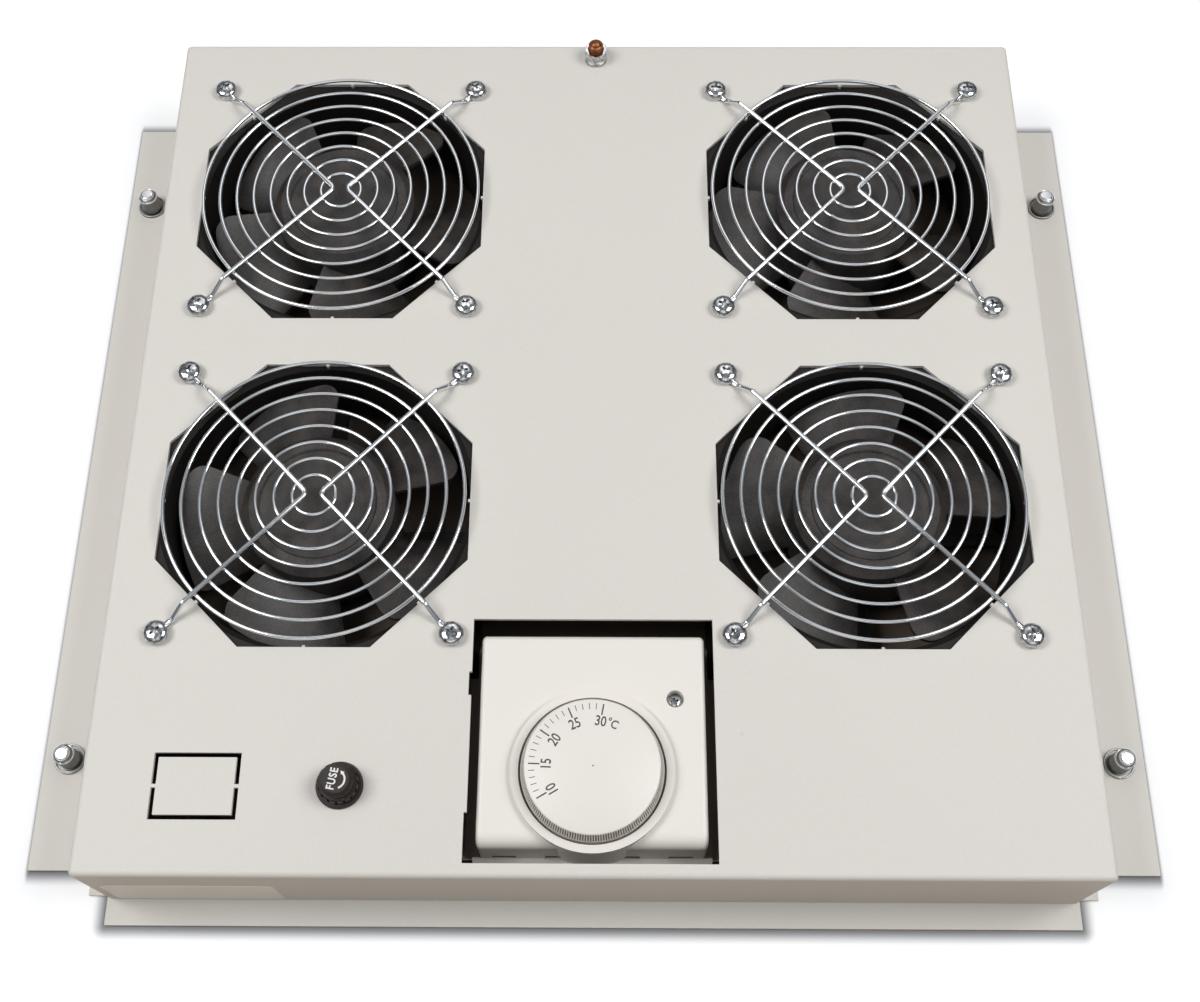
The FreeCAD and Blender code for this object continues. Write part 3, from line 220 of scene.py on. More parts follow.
class Paint:
    """A material, or the world, whose nodes all come from one method."""

    def __init__(self, name, tree=None):
        self.material = None
        if tree is None:
            self.material = bpy.data.materials.new(name)
            self.material.use_nodes = True
            tree = self.material.node_tree
        self.tree = tree
        self.place = None

    def add(self, kind, settings=(), sockets=(), output=0):
        """Add a node: its settings first, then a value or a link for each socket; gives one output."""
        node = self.tree.nodes.new(kind)
        for key, setting in dict(settings).items():
            if key == "stops":
                self.set_stops(node.color_ramp, setting)
            else:
                setattr(node, key, setting)
        for key, given in dict(sockets).items():
            self.join(given, node.inputs[key])
        return Value(self, node.outputs[output])

    def join(self, given, socket):
        if isinstance(given, Value):
            self.tree.links.new(given.socket, socket)
        else:
            socket.default_value = given

    def set_stops(self, ramp, stops):
        while len(ramp.elements) < len(stops):
            ramp.elements.new(1)
        for element, (position, grey) in zip(ramp.elements, stops):
            element.position = position
            element.color = (grey, grey, grey, 1)

    def spot(self):
        """The point on the tray, in metres, which moves with its piece."""
        if self.place is None:
            self.place = self.add("ShaderNodeTexCoord", output="Object")
        return self.place

    def noise(self, size, detail=2.0, rough=0.5):
        """Noise of about one feature per size, from 0 to 1."""
        sockets = {"Vector": self.spot(), "Scale": 1 / size, "Detail": detail, "Roughness": rough}
        return self.add("ShaderNodeTexNoise", {}, sockets)

    def parts(self, vector):
        """The X, Y and Z of a vector."""
        first = self.add("ShaderNodeSeparateXYZ", {}, {0: vector})
        return [Value(self, output) for output in first.socket.node.outputs]

    def ramp(self, value, *stops):
        return self.add("ShaderNodeValToRGB", {"stops": stops}, {0: value})

    def mix(self, factor, first, second):
        """A colour between two colours."""
        sockets = {0: factor, 6: first, 7: second}
        return self.add("ShaderNodeMix", {"data_type": "RGBA"}, sockets, output=2)

    def mottle(self, factor, tint, dark, light):
        """A tint that wanders between two strengths."""
        return self.mix(factor, strength(tint, dark), strength(tint, light))

    def bump(self, height, distance, amount):
        sockets = {"Strength": amount, "Distance": distance, "Height": height}
        return self.add("ShaderNodeBump", {}, sockets)

    def shade(self, **sockets):
        """Set the material's shader; names are socket names with underscores."""
        shader = self.tree.nodes["Principled BSDF"]
        for name, given in sockets.items():
            self.join(given, shader.inputs[name.replace("_", " ")])
        return self.material


def strength(tint, factor):
    return tuple(channel * factor for channel in tint[:3]) + (1,)


def powder_coat(finish):
    paint = Paint("powder_coat")
    grain = paint.noise(finish.coat_grain, 3)
    drift = paint.noise(90 * MM, 1)
    tone = paint.ramp(grain * 0.8 + drift * 0.2, (0.32, 0), (0.68, 1))
    # Painted light: past the panel's sides, the flanges get the same coat painted lighter, standing in for
    # more light falling on them.
    across, _, _ = paint.parts(paint.spot())
    flange = ((abs(across) - PANEL_HALF - 0.2 * MM) * (1 / MM)).from_0_to_1()
    base = paint.mottle(tone, finish.coat, 0.965, 1.025)
    base = paint.mix(flange, base, strength(finish.coat, 1.13))
    peel = paint.noise(1.6 * MM, 2)
    normal = paint.bump(grain * 0.6 + peel * 0.8, 0.05 * MM, 0.55)
    return paint.shade(
        Base_Color=base, Roughness=grain * 0.14 + 0.46, Normal=normal, Specular_IOR_Level=0.35)


def bright_plate(finish):
    paint = Paint("bright_plate")
    haze = paint.noise(1.1 * MM, 3)
    base = paint.mottle(haze, finish.chrome, 0.9, 1)
    normal = paint.bump(paint.noise(2.4 * MM, 1), 0.04 * MM, 0.35)
    return paint.shade(Base_Color=base, Metallic=1.0, Roughness=haze * 0.08 + 0.05, Normal=normal)


def screw_plate(finish):
    paint = Paint("screw_plate")
    cloud = paint.noise(1.3 * MM, 3, 0.6)
    tone = paint.ramp(cloud, (0.36, 0), (0.62, 1))
    base = paint.mottle(tone, finish.chrome, 0.3, 0.85)
    normal = paint.bump(cloud, 0.05 * MM, 0.4)
    return paint.shade(Base_Color=base, Metallic=1.0, Roughness=cloud * 0.1 + 0.06, Normal=normal)


def zinc_plate(finish):
    paint = Paint("zinc_plate")
    spangle = paint.noise(0.9 * MM, 4, 0.7)
    base = paint.mottle(spangle, finish.zinc, 0.62, 1.18)
    normal = paint.bump(spangle, 0.05 * MM, 0.5)
    return paint.shade(Base_Color=base, Metallic=1.0, Roughness=spangle * 0.25 + 0.26, Normal=normal)


def copper_flash(finish):
    paint = Paint("copper_flash")
    stain = paint.noise(1.2 * MM, 4, 0.65)
    base = paint.mottle(paint.ramp(stain, (0.38, 0), (0.62, 1)), finish.copper, 0.35, 1)
    normal = paint.bump(stain, 0.05 * MM, 0.5)
    return paint.shade(Base_Color=base, Metallic=0.85, Roughness=stain * 0.3 + 0.25, Normal=normal)


def stud_steel(finish):
    paint = Paint("stud_steel")
    smut = paint.noise(0.7 * MM, 4, 0.7)
    base = paint.mottle(smut, finish.zinc, 0.3, 0.62)
    normal = paint.bump(smut, 0.05 * MM, 0.5)
    return paint.shade(Base_Color=base, Metallic=1.0, Roughness=smut * 0.2 + 0.3, Normal=normal)


def contact_brass(finish):
    paint = Paint("contact_brass")
    tarnish = paint.noise(2.5 * MM, 3)
    base = paint.mottle(tarnish, finish.brass, 0.7, 1)
    return paint.shade(Base_Color=base, Metallic=1.0, Roughness=tarnish * 0.2 + 0.2)


def fan_moulding(finish):
    paint = Paint("fan_moulding")
    fleck = paint.noise(0.55 * MM, 3, 0.7)
    # Lighter clouds in the black: partly the moulding's own streaks and fleck, partly painted sheen that
    # stands in for the blades' gloss.
    flow_and_sheen = paint.noise(9 * MM, 2)
    tone = paint.ramp(fleck * 0.6 + flow_and_sheen * 0.4, (0.38, 0), (0.64, 1))
    base = paint.mottle(tone, finish.moulding, 0.6, 3.1)
    normal = paint.bump(fleck, 0.05 * MM, 0.6)
    return paint.shade(Base_Color=base, Roughness=flow_and_sheen * 0.2 + 0.36, Normal=normal)


# Painted shade: the fan housings get a darker copy of the fan plastic, standing in for the shade under the
# panel where they sit.
def shaded_frame_moulding(finish):
    paint = Paint("shaded_frame_moulding")
    fleck = paint.noise(0.7 * MM, 3, 0.7)
    base = paint.mottle(fleck, finish.moulding, 0.3, 0.85)
    normal = paint.bump(fleck, 0.04 * MM, 0.5)
    return paint.shade(
        Base_Color=base, Roughness=fleck * 0.2 + 0.42, Normal=normal, Specular_IOR_Level=0.25)


def gloss_moulding(finish):
    paint = Paint("gloss_moulding")
    fleck = paint.noise(0.7 * MM, 2)
    base = paint.mix(fleck, (0.016, 0.011, 0.009, 1), (0.030, 0.021, 0.017, 1))
    normal = paint.bump(fleck, 0.03 * MM, 0.5)
    return paint.shade(
        Base_Color=base, Roughness=fleck * 0.15 + 0.3, Normal=normal, Specular_IOR_Level=0.4)


def cover_plastic(finish):
    paint = Paint("cover_plastic")
    spark = paint.noise(0.35 * MM, 2)
    drift = paint.noise(40 * MM, 1)
    base = paint.mottle(drift, finish.cover, 0.975, 1.015)
    normal = paint.bump(spark, 0.02 * MM, 0.4)
    return paint.shade(Base_Color=base, Roughness=spark * 0.12 + 0.34, Normal=normal)


def shade_plastic(finish):
    """Painted shade: dark brown in the gap round the cover, where shade falls; a white like the cover's on
    the lip in front of it.
    """
    paint = Paint("shade_plastic")
    fleck = paint.noise(0.8 * MM, 2)
    _, along, height = paint.parts(paint.spot())
    lip_back, lip_top, blur = 163.6 * MM, 30 * MM, 0.2 * MM
    front = (along * -1 - lip_back).smaller(height * -1 + lip_top)
    lip = (front * (1 / blur)).from_0_to_1()
    # The dark brown is painted shade, not the plastic's own colour.
    dark = paint.mix(fleck, (0.19, 0.145, 0.115, 1), (0.26, 0.205, 0.165, 1))
    base = paint.mix(lip, dark, strength(finish.cover, 0.9))
    return paint.shade(Base_Color=base, Roughness=fleck * 0.1 + 0.5)


def block_plastic(finish):
    paint = Paint("block_plastic")
    fleck = paint.noise(0.6 * MM, 2)
    base = paint.mix(fleck, (0.16, 0.16, 0.155, 1), (0.22, 0.22, 0.21, 1))
    return paint.shade(Base_Color=base, Roughness=fleck * 0.1 + 0.45)


def winding_steel(finish):
    paint = Paint("winding_steel")
    layer = paint.noise(0.5 * MM, 2)
    base = paint.mix(layer, (0.10, 0.09, 0.08, 1), (0.20, 0.19, 0.17, 1))
    return paint.shade(Base_Color=base, Metallic=0.8, Roughness=layer * 0.2 + 0.4)


def fuse_tube(finish):
    paint = Paint("fuse_tube")
    haze = paint.noise(3 * MM, 2)
    base = paint.mix(haze, (0.90, 0.94, 0.95, 1), (0.97, 0.99, 1, 1))
    return paint.shade(
        Base_Color=base, Roughness=haze * 0.05 + 0.02, Transmission_Weight=0.95, IOR=1.5)


def dial_ink(finish):
    paint = Paint("dial_ink")
    wear = paint.noise(0.5 * MM, 3, 0.7)
    base = paint.mottle(wear, finish.ink, 1, 2.0)
    return paint.shade(Base_Color=base, Roughness=wear * 0.1 + 0.4)


def white_ink(finish):
    paint = Paint("white_ink")
    wear = paint.noise(0.4 * MM, 3, 0.7)
    base = paint.mix(wear, (0.70, 0.69, 0.67, 1), (0.90, 0.89, 0.87, 1))
    return paint.shade(Base_Color=base, Roughness=wear * 0.1 + 0.4)


def label_film(finish):
    paint = Paint("label_film")
    fibre = paint.noise(0.8 * MM, 3)
    base = paint.mottle(fibre, finish.coat, 1.27, 1.35)
    return paint.shade(Base_Color=base, Roughness=fibre * 0.1 + 0.3)


FINISHES = {
    "panel_coat": powder_coat,
    "bright_steel": bright_plate,
    "screw_plate": screw_plate,
    "zinc_steel": zinc_plate,
    "copper_plate": copper_flash,
    "stud_steel": stud_steel,
    "contact_brass": contact_brass,
    "fan_black": fan_moulding,
    "frame_black_shaded": shaded_frame_moulding,
    "fuse_black": gloss_moulding,
    "stat_white": cover_plastic,
    "block_grey": block_plastic,
    "stat_shade": shade_plastic,
    "core_steel": winding_steel,
    "fuse_tube": fuse_tube,
    "dial_ink": dial_ink,
    "white_ink": white_ink,
    "label_film": label_film,
}


def finish_named(name):
    """The material of a finish, made the first time that it is asked for."""
    known = bpy.data.materials.get(FINISHES[name].__name__)
    return known or FINISHES[name](bpy.context.scene.tray_finish)


# Shapes


class Shell:
    """Gathers vertices and faces, and turns them into one piece."""

    def __init__(self):
        self.points = []
        self.faces = []

    def add(self, points, faces, move=None):
        start = len(self.points)
        self.points += [move @ Vector(p) for p in points] if move else [Vector(p) for p in points]
        self.faces += [tuple(start + index for index in face) for face in faces]

    def add_mesh(self, mesh, move=None):
        self.add([v.co for v in mesh.vertices], [tuple(p.vertices) for p in mesh.polygons], move)

    def piece(self, name, finish, body, slot=None, crease=35):
        mesh = bpy.data.meshes.new(name)
        mesh.from_pydata(self.points, [], self.faces)
        mesh.shade_smooth()
        mesh.set_sharp_from_angle(angle=math.radians(crease))
        item = bpy.data.objects.new(name, mesh)
        bpy.context.scene.collection.objects.link(item)
        mesh.materials.append(finish_named(finish))
        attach(item, body)
        return item


def grid_faces(rows, columns, closed=False):
    """Quads between rings of points, with as many columns in each; closed also joins last to first."""
    faces = []
    for row in range(rows if closed else rows - 1):
        below, above = row * columns, (row + 1) % rows * columns
        for column in range(columns):
            following = (column + 1) % columns
            faces.append((below + column, below + following, above + following, above + column))
    return faces


def rod_faces(rows, sides):
    """The faces of a closed rod: between its rings of points, and at its two ends."""
    last = (rows - 1) * sides
    return grid_faces(rows, sides) + [tuple(reversed(range(sides))), tuple(range(last, last + sides))]


def flipped(faces):
    return [tuple(reversed(face)) for face in faces]


BLOCK_FACES = [(3, 2, 1, 0), (4, 5, 6, 7), *grid_faces(2, 4)]


def polar(radius, angle, level):
    return radius * math.cos(angle), radius * math.sin(angle), level


def circles(outline, steps):
    """A circle of points about Z for each (radius, height) of an outline."""
    turns = [math.tau * step / steps for step in range(steps)]
    return [polar(radius, turn, level) for radius, level in outline for turn in turns]


def revolve(outline, steps):
    """Turn an open outline of (radius, height) about Z, from the lower middle to the upper middle."""
    return circles(outline, steps), rod_faces(len(outline), steps)


def ring(outline, steps):
    """Turn a closed outline of (radius, height) about Z."""
    return circles(outline, steps), grid_faces(len(outline), steps, closed=True)


def outline_mm(base, *corners):
    """An outline of (radius, height) given in millimetres, on a base height in metres."""
    return [(radius * MM, base + height * MM) for radius, height in corners]


def torus(major, minor, level, steps=144, sides=12):
    """A ring of round wire about Z, with the wire's middle at a level."""
    points = []
    for step in range(steps):
        angle = math.tau * step / steps
        for side in range(sides):
            turn = math.tau * side / sides
            reach = major + minor * math.cos(turn)
            points.append(polar(reach, angle, level + minor * math.sin(turn)))
    return points, flipped(grid_faces(steps, sides, closed=True))


def tube(path, wide, high, sides=14):
    """A wire along a path of points, with a width and a height at each; both ends are closed."""
    points = []
    for index, spot in enumerate(path):
        before, after = path[max(index - 1, 0)], path[min(index + 1, len(path) - 1)]
        along = (after - before).normalized()
        across = along.cross(Vector((0, 0, 1))).normalized()
        up = across.cross(along)
        for side in range(sides):
            turn = math.tau * side / sides
            offset = across * wide[index] * math.cos(turn)
            points.append(spot + offset + up * high[index] * math.sin(turn))
    return points, flipped(rod_faces(len(path), sides))


def rounded_path(corners, radius, steps=8):
    """The points of a path whose corners are arcs of one radius."""
    path = [corners[0]]
    for before, corner, after in zip(corners, corners[1:], corners[2:]):
        arriving, leaving = (corner - before).normalized(), (after - corner).normalized()
        bend = arriving.angle(leaving)
        axis = arriving.cross(leaving).normalized()
        start = corner - arriving * radius * math.tan(bend / 2)
        centre = start + axis.cross(arriving) * radius
        for step in range(steps + 1):
            path.append(centre + Matrix.Rotation(bend * step / steps, 3, axis) @ (start - centre))
    return path + [corners[-1]]


def threaded(radius, depth, pitch, low, high, sides=40, per_pitch=8):
    """A closed rod with a helical thread that fades out at its two ends."""
    rows = max(4, round((high - low) / pitch * per_pitch))
    points = []
    for row in range(rows + 1):
        height = low + (high - low) * row / rows
        fade = min(1, (height - low) / pitch, (high - height) / pitch)
        for side in range(sides):
            phase = (height / pitch - side / sides) % 1
            groove = depth * fade * (1 - abs(2 * phase - 1)) ** 1.2
            points.append(polar(radius - groove, math.tau * side / sides, height))
    return points, rod_faces(rows + 1, sides)


def washer(inner, outer, height, steps):
    """A flat ring from z = 0 upwards."""
    return ring(((inner, 0), (outer, 0), (outer, height), (inner, height)), steps)


def nut(flats, height, bore, bevel):
    """A hexagon nut at z = 0 with bevelled corners and a round bore."""
    sides = 48
    flat = flats / 2
    outer = flat / math.cos(math.pi / 6)
    mouth = bore * 1.12
    spare = (outer - flat) * 0.15
    points = []
    for level, limit in ((0, flat), (bevel, outer), (height - bevel, outer), (height, flat)):
        for side in range(sides):
            angle = math.tau * side / sides
            turn = (angle % (math.pi / 3)) - math.pi / 6
            points.append(polar(min(flat / math.cos(turn), limit + spare), angle, level))
    inside = ((mouth, height), (bore, height - bevel), (bore, bevel), (mouth, 0))
    return points + circles(inside, sides), grid_faces(4 + len(inside), sides, closed=True)


def carved(points, faces, cutters):
    """A mesh with cutters taken out of it; each cutter is (points, faces)."""
    def thing(name, shape):
        mesh = bpy.data.meshes.new(name)
        mesh.from_pydata([Vector(p) for p in shape[0]], [], shape[1])
        item = bpy.data.objects.new(name, mesh)
        bpy.context.scene.collection.objects.link(item)
        return item

    base = thing("carved", (points, faces))
    tools = [thing("cutter", cutter) for cutter in cutters]
    for tool in tools:
        change = base.modifiers.new("cut", "BOOLEAN")
        change.operation = "DIFFERENCE"
        change.solver = "EXACT"
        change.object = tool
    evaluated = base.evaluated_get(bpy.context.evaluated_depsgraph_get())
    mesh = bpy.data.meshes.new_from_object(evaluated)
    for item in [base, *tools]:
        bpy.data.objects.remove(item)
    return mesh


def wedge(reach, width, depth, top):
    """A cutter for one bar of a cross recess: a bar that narrows downwards."""
    points = []
    for level, long_share, wide_share in ((top - depth, 0.45, 0.8), (top + depth, 1.25, 1.1)):
        x, y = reach * long_share, width / 2 * wide_share
        points += [(-x, -y, level), (x, -y, level), (x, y, level), (-x, y, level)]
    return points, BLOCK_FACES


def cross_recess(reach, width, depth, top):
    """The two cutters of a cross recess."""
    points, faces = wedge(reach, width, depth, top)
    turned = [(-y, x, z) for x, y, z in points]
    return [(points, faces), (turned, faces)]


# Pieces


class PieceOperator:
    """What the operators of this add-on share."""

    bl_options = {"REGISTER", "UNDO"}


class TRAY_OT_coats(PieceOperator, bpy.types.Operator):
    """Give every modelled part the finish of its material slot, but painted shade on the thermostat's base
    and cradle and a shaded copy of the fan plastic on the housings
    """

    bl_idname = "tray.coats"
    bl_label = "Coats"

    def execute(self, context):
        slots = {row["node"]: row["material_slot"] for row in frame["record"]["subparts"]}
        # Painted shade: the thermostat's base and its zinc cradle take the dark brown that stands in for
        # the shade in the gap round the cover.
        slots["thermostat_base"] = "stat_shade"
        slots["thermostat_cradle"] = "stat_shade"
        # The fan housings take the darker copy of the fan plastic, which is painted shade.
        slots.update({"fan_frame_" + corner: "frame_black_shaded" for corner in CORNERS})
        for name, item in frame["nodes"].items():
            item.data.materials.clear()
            item.data.materials.append(finish_named(slots[name]))
        return {"FINISHED"}


def spoke_wire(guard, side):
    """One V-shaped wire: bend by the axis, kinks outside the rings, flattened ends."""
    kink_low, kink_high, bend, flattened = 6.5 * MM, 13.5 * MM, 2.2 * MM, 7 * MM
    hole = guard.pitch / 2
    high = guard.level + guard.ring_wire + guard.spoke_wire * 0.7
    low = guard.spoke_wire
    apex = Vector((guard.apex, 0, high))
    eye = Vector((hole, hole, high))
    outwards = (eye - apex).normalized()
    reach = (eye - apex).length
    arm = []
    for back, level in ((guard.eye, low), (kink_low, low), (kink_high, high)):
        spot = apex + outwards * (reach - back)
        arm.append(Vector((spot.x, spot.y, level)))
    mirrored = [Vector((p.x, -p.y, p.z)) for p in reversed(arm)]
    path = rounded_path(arm + [apex] + mirrored, bend)
    path = [Vector((side * p.x, p.y, p.z)) for p in path]
    wide, tall = [], []
    ends = (path[0], path[-1])
    for p in path:
        near = min((p - end).length for end in ends)
        flat = max(0.0, 1 - near / flattened)
        wide.append(guard.spoke_wire * (1 + 0.45 * flat))
        tall.append(guard.spoke_wire * (1 - 0.35 * flat))
    return path, wide, tall


class TRAY_OT_guards(PieceOperator, bpy.types.Operator):
    """Make the four wire guards: welded rings, V-shaped spokes and eyelets"""

    bl_idname = "tray.guards"
    bl_label = "Wire guards"

    def execute(self, context):
        guard = context.scene.tray_guard
        hole = guard.pitch / 2
        for corner in CORNERS:
            move = upright(middle("fan_frame_" + corner), PANEL_TOP)
            shell = Shell()
            for number in range(guard.rings):
                radius = guard.inner + (guard.outer - guard.inner) * number / (guard.rings - 1)
                shell.add(*torus(radius, guard.ring_wire, guard.level), move)
            for side in (-1, 1):
                shell.add(*tube(*spoke_wire(guard, side)), move)
                for end in (-1, 1):
                    pressed = guard.spoke_wire * 0.8
                    eyelet = torus(guard.eye, pressed, pressed, steps=32)
                    shell.add(*eyelet, move @ Matrix.Translation((side * hole, end * hole, 0)))
            piece = shell.piece("guard_wires_" + corner, "bright_steel", "tray")
            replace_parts(piece, "finger_guards")
        return {"FINISHED"}


def screw_spots(pitch):
    """The sixteen guard screws, as (x, y)."""
    signs = ((-1, -1), (1, -1), (1, 1), (-1, 1))
    centres = [middle("fan_frame_" + corner) for corner in CORNERS]
    return [(c.x + sx * pitch / 2, c.y + sy * pitch / 2) for c in centres for sx, sy in signs]


class TRAY_OT_guard_screws(PieceOperator, bpy.types.Operator):
    """Make the sixteen pan-head screws with their cross recesses, and their nuts"""

    bl_idname = "tray.guard_screws"
    bl_label = "Guard screws and nuts"

    def execute(self, context):
        screw = context.scene.tray_screw
        seat, side, steps = 1.6 * MM, 0.75 * MM, 14
        head = [(CORE * MM, 0), (screw.head * 0.97, 0), (screw.head, 0.12 * MM), (screw.head, side)]
        for step in range(1, steps + 1):
            turn = math.pi / 2 * step / steps
            across = screw.head * (0.04 + 0.96 * math.cos(turn) ** 0.75) if step < steps else CORE * MM
            head.append((across, side + (screw.dome - side) * math.sin(turn)))
        cutters = cross_recess(screw.recess, 1.15 * MM, screw.recess_depth, screw.dome)
        mesh = carved(*revolve(head, 56), cutters)
        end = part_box("guard_screws")[0].z - PANEL_TOP - seat
        shank = threaded(1.95 * MM, 0.35 * MM, 0.7 * MM, end, 0.1 * MM, 24, 6)
        heads = Shell()
        nuts = Shell()
        draw = random.Random(4)
        nut_low, nut_high = (corner.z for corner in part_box("guard_nuts"))
        for x, y in screw_spots(context.scene.tray_guard.pitch):
            turned = Matrix.Rotation(draw.uniform(0, math.pi), 4, "Z")
            move = Matrix.Translation((x, y, PANEL_TOP + seat)) @ turned
            heads.add_mesh(mesh, move)
            heads.add(*shank, move)
            turned = Matrix.Rotation(draw.uniform(0, math.pi / 3), 4, "Z")
            hexagon = nut(screw.nut, nut_high - nut_low, 2 * MM, 0.4 * MM)
            nuts.add(*hexagon, Matrix.Translation((x, y, nut_low)) @ turned)
        piece = heads.piece("guard_screws_domed", "screw_plate", "tray", "bright_steel")
        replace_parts(piece, "guard_screws")
        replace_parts(nuts.piece("guard_nuts_bevelled", "zinc_steel", "tray"), "guard_nuts")
        return {"FINISHED"}


class TRAY_OT_studs(PieceOperator, bpy.types.Operator):
    """Make the four flange studs with collar, thread and polished tip"""

    bl_idname = "tray.studs"
    bl_label = "Flange studs"

    def execute(self, context):
        stud = context.scene.tray_stud
        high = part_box("flange_studs")[1]
        flange = 5.8 * MM
        neck = high.z - 1.9 * MM
        collar = outline_mm(0, (CORE, 0), (5, 0)) + outline_mm(
            SHEET, (5, 0), (5.8, 0), (5.8, 0.7), (5.6, 1), (5.1, 1), (4.95, 0.2), (4.45, 0.2), (4.3, 0.9),
            (CORE, 0.9))
        shoulder = outline_mm(neck, (CORE, -0.6), (3.6, -0.6), (3.6, 0.3), (2.9, 0.8), (CORE, 0.8))
        edge = outline_mm(
            neck, (3.5, -0.5), (3.8, -0.5), (3.98, -0.2), (3.9, 0.15), (3.65, 0.35), (3.5, 0.3))
        tip = outline_mm(
            high.z, (CORE, -1.9), (2.8, -1.9), (2.8, -0.55), (2.6, -0.2), (2.25, -0.03), (1.9, 0),
            (CORE, 0))
        rim = torus(5.45 * MM, 0.28 * MM, SHEET + 0.8 * MM, steps=48)
        rod = threaded(4 * MM, stud.depth, stud.pitch, SHEET + 0.5 * MM, neck - 0.3 * MM)
        threads, rims, tips = Shell(), Shell(), Shell()
        reach_x, reach_y = high.x - flange, high.y - flange
        for x in (-reach_x, reach_x):
            for y in (-reach_y, reach_y):
                move = Matrix.Translation((x, y, 0))
                threads.add(*revolve(collar, 48), move)
                rims.add(*rim, move)
                threads.add(*rod, move)
                threads.add(*revolve(shoulder, 48), move)
                tips.add(*revolve(edge, 48), move)
                tips.add(*revolve(tip, 48), move)
        piece = threads.piece("flange_stud_threads", "stud_steel", "tray", "zinc_steel")
        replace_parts(piece, "flange_studs")
        rims.piece("flange_stud_rims", "zinc_steel", "tray")
        tips.piece("flange_stud_tips", "bright_steel", "tray", "zinc_steel")
        return {"FINISHED"}


class TRAY_OT_earth_point(PieceOperator, bpy.types.Operator):
    """Make the coppered earth stud with its thread, nut and washer"""

    bl_idname = "tray.earth_point"
    bl_label = "Earth point"

    def execute(self, context):
        stud = context.scene.tray_stud
        low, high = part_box("earth_stud")
        centre = middle("earth_stud")
        move = upright(centre, 0)
        shell = Shell()
        rod = threaded(3 * MM, 0.42 * MM, stud.earth_pitch, PANEL_TOP, high.z - 1.9 * MM, 40, 10)
        tip = outline_mm(
            high.z, (CORE, -2.2), (2.7, -2.2), (2.7, -1.9), (2.1, -1.5), (2, -0.8), (1.5, -0.3),
            (0.8, -0.05), (CORE, 0))
        head = outline_mm(low.z, (CORE, 0), (4.2, 0), (4.5, 0.3)) + outline_mm(
            PANEL_TOP, (4.5, -1.5), (3, -1.5), (3, 0.1), (CORE, 0.1))
        for points, faces in (rod, revolve(tip, 40), revolve(head, 40)):
            shell.add(points, faces, move)
        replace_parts(shell.piece("earth_stud_threaded", "copper_plate", "tray"), "earth_stud")
        low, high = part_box("earth_nut")
        shell = Shell()
        hexagon = nut(stud.earth_nut, high.z - low.z, 3 * MM, 0.7 * MM)
        shell.add(*hexagon, upright(centre, low.z, math.pi / 6))
        piece = shell.piece("earth_nut_bevelled", "screw_plate", "tray", "zinc_steel")
        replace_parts(piece, "earth_nut")
        low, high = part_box("earth_washer")
        shell = Shell()
        shell.add(*washer(3.1 * MM, 4.8 * MM, high.z - low.z, 48), upright(centre, low.z))
        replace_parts(shell.piece("earth_washer_plain", "zinc_steel", "tray"), "earth_washer")
        return {"FINISHED"}


def lettering(text, height, move, bold, spacing=1.0, narrow=1.0):
    """The mesh and placement of a short printed text, from a height and a placement."""
    curve = bpy.data.curves.new("lettering", "FONT")
    curve.body = text
    curve.size = height / 0.7
    curve.align_x = "CENTER"
    curve.align_y = "CENTER"
    curve.extrude = INK / 2
    curve.offset = bold
    curve.space_character = spacing
    curve.resolution_u = 4
    item = bpy.data.objects.new("lettering", curve)
    bpy.context.scene.collection.objects.link(item)
    evaluated = item.evaluated_get(bpy.context.evaluated_depsgraph_get())
    mesh = bpy.data.meshes.new_from_object(evaluated)
    bpy.data.objects.remove(item)
    return mesh, move @ Matrix.Diagonal((narrow, 1, 1, 1))


def bar(reach, width, height):
    """A thin block from the origin along X, centred on Y and Z."""
    side = width / 2
    corners = ((0, -side), (reach, -side), (reach, side), (0, side))
    return [(x, y, z) for z in (-height / 2, height / 2) for x, y in corners], BLOCK_FACES


